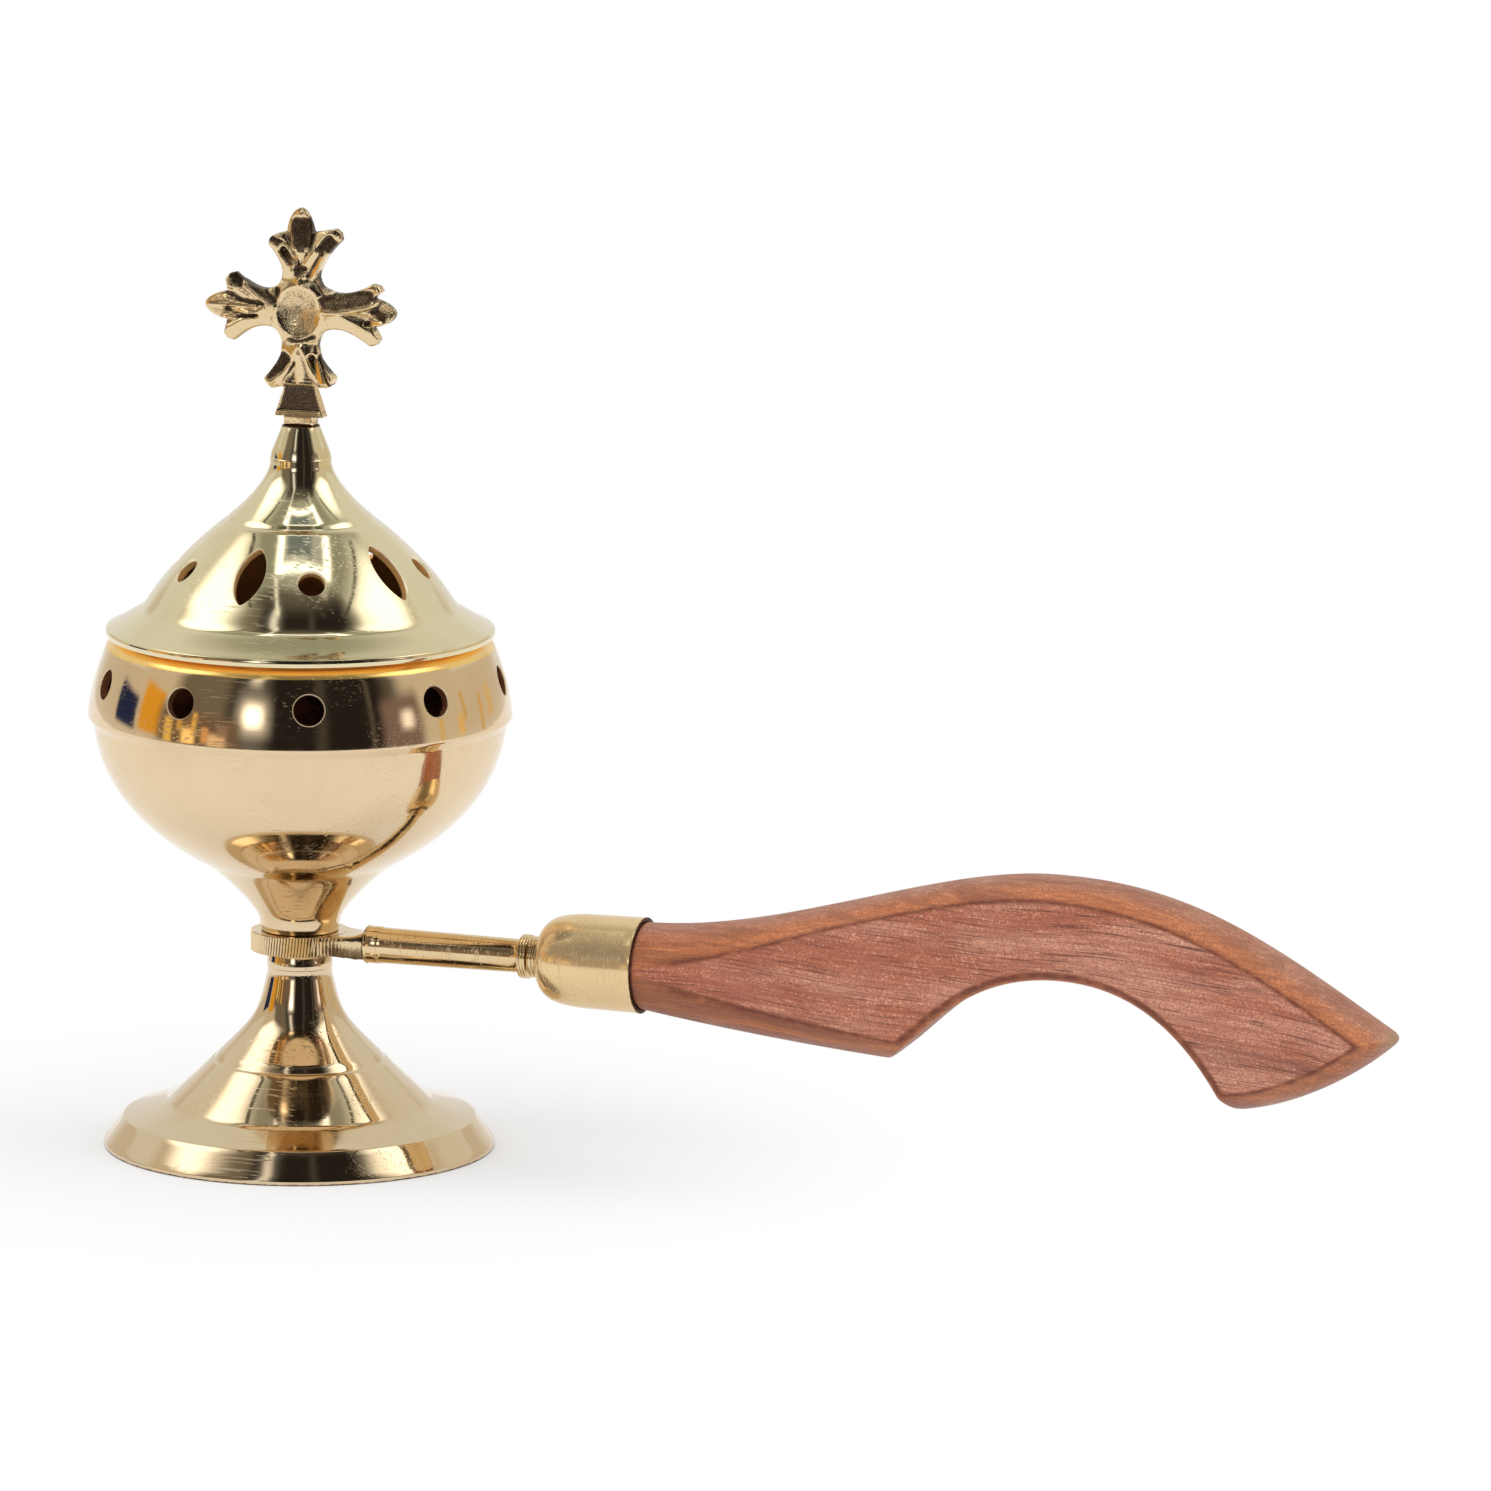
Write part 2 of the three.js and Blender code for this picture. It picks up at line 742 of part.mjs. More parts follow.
function squareToLid(tool, curve, height, bearing) {
  const slope = slopeAt(curve, height);
  return tool
    .rotateZ(Math.PI / 2)
    .rotateY(slope)
    .translate(radiusAt(curve, height), 0, height)
    .rotateZ(bearing);
}

function makeLid() {
  const { cone, flare } = lidOutsideCurve();
  const mouthInside = bowlInsideCurve();
  const spigotRadius = mouthInside[mouthInside.length - 1].x - fitGap;
  const spigotBase = lidBase - spigotDepth;
  const hollowTop = lidBase + lidHollowRise;
  const inside = [...offset(cone, -lidWall), ...offset(flare, -lidWall).slice(1)]
    .filter((each) => each.y < hollowTop - 1 && each.y > lidBase + brimThickness);
  const peg = crossPegRadius + fitGap;
  const groove = lidBase + lidGrooveRise;
  const body = turned([
    point(0, hollowTop),
    point(inside[inside.length - 1].x - 1, hollowTop),
    ...inside.reverse(),
    point(spigotRadius - spigotWall, lidBase),
    point(spigotRadius - spigotWall, spigotBase),
    point(spigotRadius, spigotBase),
    point(spigotRadius, lidBase),
    point(brimRadius - brimRound, lidBase),
    point(brimRadius, lidBase + brimRound),
    point(brimRadius, lidBase + brimThickness - brimRound),
    point(brimRadius - brimRound, lidBase + brimThickness),
    ...cone.slice(0, -1),
    point(lidGrooveRadius + lidGrooveDepth / 2, groove - lidGrooveDepth),
    point(lidGrooveRadius - lidGrooveDepth, groove),
    ...flare.slice(1),
    point(lidNeckRadius, lidBase + lidNeckRise + lidNeckLand),
    point(lidTopRadius, crossBase),
    point(peg, crossBase),
    point(peg, crossBase - crossPegLength - boreEndGap),
    point(0, crossBase - crossPegLength - boreEndGap),
  ]);
  const pierced = [];
  for (let i = 0; i < lidHoleCount; i += 1) {
    const turn = frontBearing + i * 360 / lidHoleCount;
    const drill = rodBetween(roundHoleRadius, -lidDrillReach, lidDrillReach, drillSides);
    const roundAt = degToRad(turn + roundHoleLag);
    pierced.push(squareToLid(drill, cone, lidBase + roundHoleRise, roundAt));
    const leafAt = degToRad(turn + leafLag);
    pierced.push(squareToLid(leafBlank(), cone, lidBase + leafRise, leafAt));
  }
  return cut(body, ...pierced);
}

// Cross: four arms of three petals, a dish sunk in the centre of each face, a splayed foot and a peg

function halfArm([reach, spread]) {
  const notch = point(notchReach, notchSpread);
  const tip = point(crossReach, 0);
  const side = new THREE.CubicBezierCurve(
    point(crotchReach, crotchReach),
    point(crotchReach + waistPull.along, crotchReach - waistPull.inward),
    point((crotchReach + reach) / 2, spread / 2),
    point(reach - lobeRound, spread),
  ).getPoints(5);
  const round = [
    point(reach, spread - lobeRound / 4),
    point(reach + lobeRound / 2, spread - lobeRound),
  ];
  const petal = new THREE.CubicBezierCurve(
    notch,
    point(notchReach + petalSwell, notchSpread),
    point(crossReach, notchSpread / 2),
    tip,
  ).getPoints(4);
  return [...side, ...round, ...petal];
}

function crossOutline() {
  return crossLobes.flatMap(({ left, right }, i) => {
    const upper = halfArm(left);
    const lower = halfArm(right).map((each) => point(each.x, -each.y));
    const arm = [...lower, ...upper.reverse().slice(1, -1)];
    return arm.map((each) => each.rotateAround(point(0, 0), i * Math.PI / 2));
  });
}

function bevelledPlate(outline, thickness, bevel) {
  const options = {
    depth: thickness - 2 * bevel,
    bevelEnabled: true,
    bevelThickness: bevel,
    bevelSize: bevel,
    bevelOffset: -bevel,
    bevelSegments: 1,
  };
  const plate = new THREE.ExtrudeGeometry(new THREE.Shape(outline), options);
  return plate.translate(0, 0, bevel - thickness / 2);
}

function petalGrooves() {
  const start = point(crotchReach + waistPull.along, notchSpread / 3);
  const end = point(notchReach + petalGroove, notchSpread);
  const length = start.distanceTo(end);
  const angle = Math.atan2(end.y - start.y, end.x - start.x);
  const section = new THREE.Shape([
    point(0, -petalGroove), point(petalGroove, 0), point(0, petalGroove), point(-petalGroove, 0),
  ]);
  const grooves = [];
  for (let arm = 0; arm < 4; arm += 1) {
    for (const side of [-1, 1]) {
      for (const face of [-1, 1]) {
        const groove = new THREE.ExtrudeGeometry(section, { depth: length, bevelEnabled: false });
        groove.rotateY(Math.PI / 2).rotateZ(side * angle);
        groove.translate(start.x, side * start.y, face * crossThickness / 2);
        grooves.push(groove.rotateZ(arm * Math.PI / 2));
      }
    }
  }
  return grooves;
}

function dishCutters() {
  const half = crossThickness / 2;
  const radius = (dishRadius ** 2 + dishDepth ** 2) / (2 * dishDepth);
  const sweep = Math.asin(dishRadius / radius);
  const dish = [];
  for (let i = 0; i <= 4; i += 1) {
    const angle = sweep * i / 4;
    dish.push(point(radius * Math.sin(angle), half - dishDepth + radius * (1 - Math.cos(angle))));
  }
  const clear = half + dishDepth;
  const front = turned([...dish, point(dishRadius, clear), point(0, clear)], smallSides);
  return [front, front.clone().rotateX(Math.PI)];
}

function makeCross() {
  const blockTop = crossBlockHeight - crossRise;
  const footTop = blockTop + crossFootHeight;
  const splay = [
    point(-crossFootHalfWidth, blockTop),
    point(crossFootHalfWidth, blockTop),
    point(notchSpread, footTop),
    point(-notchSpread, footTop),
  ];
  const block = new THREE.BoxGeometry(
    2 * crossBlockHalfWidth,
    crossBlockHeight + 1,
    crossThickness,
  ).translate(0, blockTop - (crossBlockHeight - 1) / 2, 0);
  const pegTop = 1 - crossRise;
  const peg = rodBetween(crossPegRadius, -crossPegLength - crossRise, pegTop);
  peg.rotateX(-Math.PI / 2);
  const arms = bevelledPlate(crossOutline(), crossThickness, crossBevel);
  const cross = cut(arms, ...petalGrooves(), ...dishCutters());
  const whole = join(cross, bevelledPlate(splay, crossThickness, crossBevel / 2), block, peg);
  return whole.rotateX(Math.PI / 2).translate(0, 0, crossCentre);
}

// Assembly

const finishes = {
  turnedBrass: { color: 0xd9bd78, roughness: 0.16, metalness: 1 },
  castBrass: { color: 0xb8954f, roughness: 0.42, metalness: 1 },
  steel: { color: 0xb9bcc0, roughness: 0.35, metalness: 1 },
  wood: { color: 0x9c5632, roughness: 0.5, metalness: 0 },
};

const censer = new THREE.Group();
censer.name = 'hand_censer';

function place(name, geometry, finish) {
  const mesh = new THREE.Mesh(geometry, new THREE.MeshStandardMaterial(finishes[finish]));
  mesh.name = name;
  mesh.position.set(vesselAxisX, 0, 0);
  censer.add(mesh);
}

place('foot', makeFoot(), 'turnedBrass');
place('stem_stud', makeStud(), 'steel');
place('foot_washer', makeWasher(), 'steel');
place('foot_nut', makeNut(), 'steel');
place('handle_eye', makeEye(), 'castBrass');
place('handle_rod', makeRod(), 'turnedBrass');
place('ferrule', makeFerrule(), 'turnedBrass');
place('grip_tang', makeTang(), 'steel');
place('grip', makeGrip(), 'wood');
place('bowl', makeBowl(), 'turnedBrass');
place('charcoal_pan', makePan(), 'turnedBrass');
place('lid', makeLid(), 'turnedBrass');
place('cross_finial', makeCross(), 'castBrass');

export default censer;
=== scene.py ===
"""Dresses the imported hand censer: turned brass vessel, cast cross, carved grip and the studio."""

import logging
import math
from collections.abc import Callable, Sequence
from dataclasses import dataclass
from enum import Enum

import bmesh
import bpy
from mathutils import Matrix, Vector, noise
from mathutils.geometry import intersect_line_line_2d


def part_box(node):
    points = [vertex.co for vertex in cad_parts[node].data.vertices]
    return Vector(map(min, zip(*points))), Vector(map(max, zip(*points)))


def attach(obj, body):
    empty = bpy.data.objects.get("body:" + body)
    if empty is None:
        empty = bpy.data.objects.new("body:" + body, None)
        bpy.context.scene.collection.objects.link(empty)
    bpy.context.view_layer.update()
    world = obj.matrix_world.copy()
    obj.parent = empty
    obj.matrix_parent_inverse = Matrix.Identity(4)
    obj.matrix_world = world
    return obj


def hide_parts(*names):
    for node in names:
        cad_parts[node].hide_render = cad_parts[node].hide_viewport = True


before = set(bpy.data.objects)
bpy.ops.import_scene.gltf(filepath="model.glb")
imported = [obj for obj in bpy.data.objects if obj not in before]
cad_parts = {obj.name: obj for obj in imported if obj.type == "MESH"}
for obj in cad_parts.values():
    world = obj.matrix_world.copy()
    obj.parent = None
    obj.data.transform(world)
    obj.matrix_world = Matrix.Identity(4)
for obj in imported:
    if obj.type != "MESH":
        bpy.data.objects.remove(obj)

LOG = logging.getLogger("censer")
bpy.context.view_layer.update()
SHARP_EDGE = math.radians(28)
WHITE = (1, 1, 1, 1)

Pair = tuple[float, float]
Triple = tuple[float, float, float]
Profile = list[Vector]
Thing = bpy.types.Object
Coating = bpy.types.Material
Socket = bpy.types.NodeSocket


def mm(value: float) -> float:
    """Millimetres in metres."""
    return value / 1000


# Outlines


def heading(degrees: float) -> Vector:
    """Unit vector of a direction in an outline's plane."""
    angle = math.radians(degrees)
    return Vector((math.cos(angle), math.sin(angle)))


def bend(
    start: Pair,
    end: Pair,
    leave: float,
    arrive: float,
    out: float,
    into: float,
    steps: int,
) -> Profile:
    """A cubic curve between two points of an outline.

    Args:
        start: First point, in millimetres.
        end: Last point, in millimetres.
        leave: Direction in which the curve leaves start, in degrees.
        arrive: Direction in which it reaches end, in degrees.
        out: Pull of the leaving direction, as a share of the chord.
        into: Pull of the arriving direction, as a share of the chord.
        steps: Number of straight steps along the curve.

    Returns:
        The points from start to end.
    """
    first, last = Vector(start), Vector(end)
    chord = (last - first).length
    one = first + chord * out * heading(leave)
    two = last - chord * into * heading(arrive)
    points = []
    for i in range(steps + 1):
        t = i / steps
        points.append(
            first * (1 - t) ** 3
            + one * 3 * t * (1 - t) ** 2
            + two * 3 * t * t * (1 - t)
            + last * t**3
        )
    return points


def straight(start: Pair, end: Pair, steps: int) -> Profile:
    """Evenly spaced points of a straight stretch of an outline."""
    return [Vector(start).lerp(Vector(end), i / steps) for i in range(steps + 1)]


def raised(points: Sequence[Vector], height: float) -> Profile:
    """An outline lifted by a height."""
    return [Vector((p.x, p.y + height)) for p in points]


def offset(points: Sequence[Vector], distance: float) -> Profile:
    """An outline moved sideways, to the right of its direction where distance is positive."""
    moved = []
    for i, p in enumerate(points):
        along = (points[min(i + 1, len(points) - 1)] - points[max(i - 1, 0)]).normalized()
        moved.append(Vector((p.x + along.y * distance, p.y - along.x * distance)))
    return moved


def radius_at(points: Sequence[Vector], height: float) -> float:
    """Radius of a rising outline at a height, in millimetres."""
    for low, high in zip(points, points[1:]):
        if low.y <= height <= high.y:
            return low.x + (high.x - low.x) * (height - low.y) / (high.y - low.y)
    return points[-1].x


def lean_at(points: Sequence[Vector], height: float) -> float:
    """Angle between an outline's outward normal and the vertical at a height, in radians."""
    step = 0.5
    return math.atan2(2 * step, radius_at(points, height - step) - radius_at(points, height + step))


def smoothstep(low: float, high: float, value: float) -> float:
    """Eased share of the way from low to high."""
    t = min(max((value - low) / (high - low), 0.0), 1.0)
    return t * t * (3 - 2 * t)


# Modelling


@dataclass(frozen=True)
class Layout:
    """Places that all pieces share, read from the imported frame.

    Attributes:
        vessel_x: Position of the vessel's axis along X, in millimetres.
        handle_z: Height of the handle's axis, in millimetres.
        front: Bearing of the photographed side round the vessel's axis, in degrees.
    """

    vessel_x: float
    handle_z: float
    front: float = -71.6

    @classmethod
    def from_frame(cls) -> "Layout":
        """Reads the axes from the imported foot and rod."""
        foot_low, foot_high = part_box("foot")
        rod_low, rod_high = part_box("handle_rod")
        sum_to_middle = 500
        return cls(
            vessel_x=(foot_low[0] + foot_high[0]) * sum_to_middle,
            handle_z=(rod_low[2] + rod_high[2]) * sum_to_middle,
        )

    @property
    def vessel(self) -> Vector:
        """Foot of the vessel's axis, in metres."""
        return Vector((mm(self.vessel_x), 0, 0))


class Spindle(Enum):
    """Axis on which a piece is turned."""

    VESSEL = "vessel"
    HANDLE = "handle"
    BENCH = "bench"

    def place(self, layout: Layout, p: Vector) -> Vector:
        """Puts a profile point of radius and length, in millimetres, in the frame, in metres."""
        if self is Spindle.HANDLE:
            return Vector((mm(layout.vessel_x + p.y), 0, mm(layout.handle_z + p.x)))
        shift = layout.vessel_x if self is Spindle.VESSEL else 0
        return Vector((mm(shift + p.x), 0, mm(p.y)))

    def axis(self) -> Vector:
        """Direction of the spindle."""
        return Vector((1, 0, 0)) if self is Spindle.HANDLE else Vector((0, 0, 1))


class Bench:
    """Modelling steps that act on the one object that is being made."""

    def __init__(self, layout: Layout) -> None:
        """Keeps the layout that turned pieces are placed by."""
        self.layout = layout

    @staticmethod
    def clear() -> None:
        """Leaves edit mode and deselects everything."""
        if bpy.context.object and bpy.context.object.mode != "OBJECT":
            bpy.ops.object.mode_set(mode="OBJECT")
        bpy.ops.object.select_all(action="DESELECT")

    def pick(self, *objs: Thing) -> None:
        """Selects only these objects and makes the first one active."""
        self.clear()
        for obj in objs:
            obj.select_set(True)
        bpy.context.view_layer.objects.active = objs[0]

    def edit(self, obj: Thing, mode: str = "VERT") -> None:
        """Opens an object in edit mode with all of it selected."""
        self.pick(obj)
        bpy.ops.object.mode_set(mode="EDIT")
        bpy.ops.mesh.select_mode(type=mode)
        bpy.ops.mesh.select_all(action="SELECT")

    def settle(self, obj: Thing) -> None:
        """Moves an object's place, turn and scale into its mesh."""
        self.pick(obj)
        bpy.ops.object.transform_apply(location=True, rotation=True, scale=True)

    def trace(self, name: str, points: Sequence[Vector]) -> Thing:
        """Draws a wire through points by extruding one vertex.

        Args:
            name: Name of the new object.
            points: Points in the frame, in metres.

        Returns:
            The wire, whose object sits at the origin.
        """
        self.clear()
        bpy.ops.mesh.primitive_plane_add(size=mm(1), location=points[0])
        obj = bpy.context.object
        obj.name = name
        bpy.ops.object.mode_set(mode="EDIT")
        bpy.ops.mesh.select_mode(type="VERT")
        bpy.ops.mesh.select_all(action="SELECT")
        bpy.ops.mesh.merge(type="CENTER")
        for here, there in zip(points, points[1:]):
            bpy.ops.mesh.extrude_region_move(TRANSFORM_OT_translate={"value": there - here})
        self.settle(obj)
        return obj

    def turn(
        self, name: str, profile: Sequence[Vector], spindle: Spindle, sides: int
    ) -> Thing:
        """Turns a closed piece from a profile.

        Args:
            name: Name of the new object.
            profile: Points of radius and length, in millimetres.
            spindle: Axis of the turning.
            sides: Number of faces round the piece.

        Returns:
            The turned piece, with its normals pointing out.
        """
        wire = self.trace(name, [spindle.place(self.layout, p) for p in profile])
        self.edit(wire)
        centre = spindle.place(self.layout, Vector((0, 0)))
        bpy.ops.mesh.spin(steps=sides, angle=math.tau, center=centre, axis=spindle.axis())
        bpy.ops.mesh.select_all(action="SELECT")
        bpy.ops.mesh.remove_doubles(threshold=mm(0.002))
        bpy.ops.mesh.normals_make_consistent(inside=False)
        self.clear()
        return wire

    def modify(self, obj: Thing, kind: str, **settings: object) -> None:
        """Adds a modifier, sets it and applies it."""
        self.pick(obj)
        bpy.ops.object.modifier_add(type=kind)
        modifier = obj.modifiers[-1]
        for key, value in settings.items():
            setattr(modifier, key, value)
        bpy.ops.object.modifier_apply(modifier=modifier.name)

    def round_edges(self, obj: Thing, width: float, segments: int = 3) -> None:
        """Rounds the sharp edges of a piece by a width in millimetres."""
        self.modify(
            obj,
            "BEVEL",
            width=mm(width),
            segments=segments,
            limit_method="ANGLE",
            angle_limit=SHARP_EDGE,
            miter_outer="MITER_ARC",
        )

    def cut(self, obj: Thing, tool: Thing) -> None:
        """Cuts a tool out of a piece and throws the tool away."""
        self.modify(obj, "BOOLEAN", operation="DIFFERENCE", solver="EXACT", object=tool)
        bpy.data.objects.remove(tool)

    def fuse(self, obj: Thing, other: Thing) -> None:
        """Unites another solid with a piece."""
        self.modify(obj, "BOOLEAN", operation="UNION", solver="EXACT", object=other)
        bpy.data.objects.remove(other)

    def join(self, *objs: Thing) -> Thing:
        """Joins objects into the first one."""
        self.pick(*objs)
        bpy.ops.object.join()
        return bpy.context.object

    def copies(self, obj: Thing, places: Sequence[Matrix]) -> Thing:
        """Copies a piece to several places, each copy with its own mesh, and joins them.

        Args:
            obj: The piece that is modelled once, at the origin, and thrown away afterwards.
            places: Where each copy goes, in metres.

        Returns:
            The joined copies.
        """
        made = []
        for place in places:
            twin = obj.copy()
            twin.data = obj.data.copy()
            twin.matrix_world = place
            bpy.context.scene.collection.objects.link(twin)
            self.settle(twin)
            made.append(twin)
        bpy.data.objects.remove(obj)
        return self.join(*made)

    def smooth(self, obj: Thing, angle: float = 32) -> None:
        """Shades a piece smooth, except over edges sharper than an angle in degrees."""
        self.pick(obj)
        bpy.ops.object.shade_smooth_by_angle(angle=math.radians(angle))
        self.clear()

    @staticmethod
    def paint_faces(
        obj: Thing, slot: int, test: Callable[[Vector, Vector], bool]
    ) -> None:
        """Gives the unpainted faces that pass a test of centre and normal another material slot."""
        for polygon in obj.data.polygons:
            if polygon.material_index == 0 and test(polygon.center, polygon.normal):
                polygon.material_index = slot

    @staticmethod
    def fill_slots(obj: Thing, finishes: Sequence[Coating]) -> None:
        """Gives an object its material slots."""
        obj.data.materials.clear()
        for material in finishes:
            obj.data.materials.append(material)


# Shader tools


class Sheet:
    """A node tree that is filled in by code."""

    def __init__(self, tree: bpy.types.NodeTree) -> None:
        """Empties the tree."""
        self.tree = tree
        tree.nodes.clear()
        self.column = 0

    def add(
        self,
        kind: str,
        inputs: dict[str | int, object] | None = None,
        **settings: object,
    ) -> bpy.types.Node:
        """Adds a node, sets it, and links or sets its inputs.

        Args:
            kind: Type name of the node.
            inputs: Values or sockets by input name or number.
            **settings: Attributes of the node.

        Returns:
            The new node.
        """
        node = self.tree.nodes.new(kind)
        node.location = (self.column * 40, -(self.column % 5) * 160)
        self.column += 1
        for key, value in settings.items():
            setattr(node, key, value)
        self.feed(node, inputs or {})
        return node

    def feed(self, node: bpy.types.Node, inputs: dict[str | int, object]) -> None:
        """Links or sets inputs of a node."""
        for key, value in inputs.items():
            if isinstance(value, Socket):
                self.tree.links.new(value, node.inputs[key])
            else:
                node.inputs[key].default_value = value

    def math(self, operation: str, *values: object, clamp: bool = False) -> Socket:
        """Result of a Math node."""
        inputs = dict(enumerate(values))
        return self.add("ShaderNodeMath", inputs, operation=operation, use_clamp=clamp).outputs[0]

    def remap(
        self, value: object, low: object, high: object, to_low: float = 0, to_high: float = 1
    ) -> Socket:
        """Value mapped from one range to another, eased and clamped."""
        node = self.add(
            "ShaderNodeMapRange",
            {0: value, 1: low, 2: high, 3: to_low, 4: to_high},
            interpolation_type="SMOOTHSTEP",
        )
        return node.outputs[0]

    def blend(self, share: object, one: object, two: object) -> Socket:
        """Two colours mixed by a share."""
        return self.add("ShaderNodeMix", {0: share, 6: one, 7: two}, data_type="RGBA").outputs[2]

    def noise(
        self,
        vector: object,
        scale: object = 1,
        detail: float = 2,
        rough: float = 0.5,
        twist: float = 0,
    ) -> Socket:
        """Value of a Noise texture."""
        inputs = {"Vector": vector, "Scale": scale, "Detail": detail}
        inputs |= {"Roughness": rough, "Distortion": twist}
        return self.add("ShaderNodeTexNoise", inputs).outputs[0]

    def bump(self, height: object, depth: float, strength: float = 1) -> Socket:
        """Normal of a relief whose depth is given in millimetres."""
        inputs = {"Strength": strength, "Distance": mm(depth), "Height": height}
        return self.add("ShaderNodeBump", inputs).outputs[0]

    def length(self, vector: Socket) -> Socket:
        """Length of a vector."""
        return self.add("ShaderNodeVectorMath", {0: vector}, operation="LENGTH").outputs[1]

    def shift(
        self,
        vector: object,
        place: Triple = (0, 0, 0),
        turn: Triple = (0, 0, 0),
        scale: Triple = (1, 1, 1),
    ) -> Socket:
        """A vector moved, turned by degrees and scaled by a Mapping node."""
        node = self.add(
            "ShaderNodeMapping",
            {
                "Vector": vector,
                "Location": place,
                "Rotation": tuple(math.radians(each) for each in turn),
                "Scale": scale,
            },
        )
        return node.outputs[0]

    def group(self, tree: bpy.types.NodeTree, inputs: dict[str, object]) -> bpy.types.Node:
        """Places a shared group with its own values."""
        return self.add("ShaderNodeGroup", inputs, node_tree=tree)


def new_group(
    name: str, inputs: dict[str, tuple[str, object]], outputs: dict[str, str]
) -> tuple[Sheet, bpy.types.Node, bpy.types.Node]:
    """Starts a shader node group.

    Args:
        name: Name of the group.
        inputs: Socket type and default value by input name.
        outputs: Socket type by output name.

    Returns:
        The group's sheet, its input node and its output node.
    """
    tree = bpy.data.node_groups.new(name, "ShaderNodeTree")
    for key, (kind, default) in inputs.items():
        socket = tree.interface.new_socket(key, in_out="INPUT", socket_type=kind)
        if default is not None:
            socket.default_value = default
    for key, kind in outputs.items():
        tree.interface.new_socket(key, in_out="OUTPUT", socket_type=kind)
    sheet = Sheet(tree)
    return sheet, sheet.add("NodeGroupInput"), sheet.add("NodeGroupOutput")


FLOAT = "NodeSocketFloat"
VECTOR = "NodeSocketVector"
COLOUR = "NodeSocketColor"


class Effects:
    """Shader groups that several finishes share."""

    def __init__(self) -> None:
        """Builds each group once."""
        self.turning = self._turning()
        self.scratches = self._scratches()
        self.cloud = self._cloud()
        self.seam = self._seam()

    @staticmethod
    def _turning() -> bpy.types.NodeTree:
        """Marks that a cutting tool and polishing leave round the Z axis of the vector."""
        sheet, enter, leave = new_group(
            "turning_marks",
            {"Vector": (VECTOR, None), "Lines": (FLOAT, 4000.0), "Swell": (FLOAT, 500.0)},
            {"Height": FLOAT, "Streak": FLOAT},
        )
        split = sheet.add("ShaderNodeSeparateXYZ", {0: enter.outputs["Vector"]})
        flat = sheet.add("ShaderNodeCombineXYZ", {0: split.outputs[0], 1: split.outputs[1]})
        radius = sheet.length(flat.outputs[0])
        bearing = sheet.math("ARCTAN2", split.outputs[1], split.outputs[0])
        bearing = sheet.math("MULTIPLY", bearing, 0.35)
        heights = []
        for key in ("Lines", "Swell"):
            across = sheet.math("MULTIPLY", radius, enter.outputs[key])
            up = sheet.math("MULTIPLY", split.outputs[2], enter.outputs[key])
            ring = sheet.add("ShaderNodeCombineXYZ", {0: across, 1: up, 2: bearing})
            heights.append(sheet.noise(ring.outputs[0], 1, 2, 0.6))
        fine = sheet.math("MULTIPLY", heights[0], 0.35)
        total = sheet.math("ADD", fine, heights[1])
        sheet.feed(leave, {"Height": total, "Streak": sheet.remap(heights[0], 0.35, 0.7)})
        return sheet.tree

    @staticmethod
    def _scratches() -> bpy.types.NodeTree:
        """Short hair scratches in three directions."""
        sheet, enter, leave = new_group(
            "hair_scratches",
            {"Vector": (VECTOR, None), "Fewness": (FLOAT, 0.72), "Fineness": (FLOAT, 2200.0)},
            {"Mask": FLOAT},
        )
        total = None
        for turn in ((12, 31, 64), (72, -25, 8), (-35, 80, 140)):
            turned = sheet.shift(enter.outputs["Vector"], turn=turn, scale=(0.035, 1, 1))
            scaled = sheet.add(
                "ShaderNodeVectorMath", {0: turned, 3: enter.outputs["Fineness"]}, operation="SCALE"
            )
            line = sheet.noise(scaled.outputs[0], 1, 0)
            edge = sheet.math("SUBTRACT", line, enter.outputs["Fewness"])
            mask = sheet.math("MULTIPLY", edge, 30.0, clamp=True)
            total = mask if total is None else sheet.math("MAXIMUM", total, mask)
        patches = sheet.remap(sheet.noise(enter.outputs["Vector"], 90, 1), 0.42, 0.62)
        sheet.feed(leave, {"Mask": sheet.math("MULTIPLY", total, patches)})
        return sheet.tree

    @staticmethod
    def _cloud() -> bpy.types.NodeTree:
        """Soft patches such as handling smudges, tarnish and soot."""
        sheet, enter, leave = new_group(
            "cloudy_film",
            {
                "Vector": (VECTOR, None),
                "Scale": (FLOAT, 60.0),
                "Low": (FLOAT, 0.45),
                "High": (FLOAT, 0.65),
            },
            {"Mask": FLOAT},
        )
        patches = sheet.noise(enter.outputs["Vector"], enter.outputs["Scale"], 4)
        mask = sheet.remap(patches, enter.outputs["Low"], enter.outputs["High"])
        sheet.feed(leave, {"Mask": mask})
        return sheet.tree

    @staticmethod
    def _seam() -> bpy.types.NodeTree:
        """Dirt that gathers on both sides of a seam at one place along a coordinate."""
        sheet, enter, leave = new_group(
            "seam_grime",
            {
                "Vector": (VECTOR, None),
                "Coordinate": (FLOAT, 0.0),
                "Place": (FLOAT, 0.0),
                "Reach": (FLOAT, 0.001),
            },
            {"Mask": FLOAT},
        )
        away = sheet.math(
            "ABSOLUTE", sheet.math("SUBTRACT", enter.outputs["Coordinate"], enter.outputs["Place"])
        )
        share = sheet.math("DIVIDE", away, enter.outputs["Reach"])
        ragged = sheet.math("ADD", share, sheet.noise(enter.outputs["Vector"], 700, 2))
        sheet.feed(leave, {"Mask": sheet.remap(ragged, 0.7, 1.5, 1, 0)})
        return sheet.tree


# Finishes


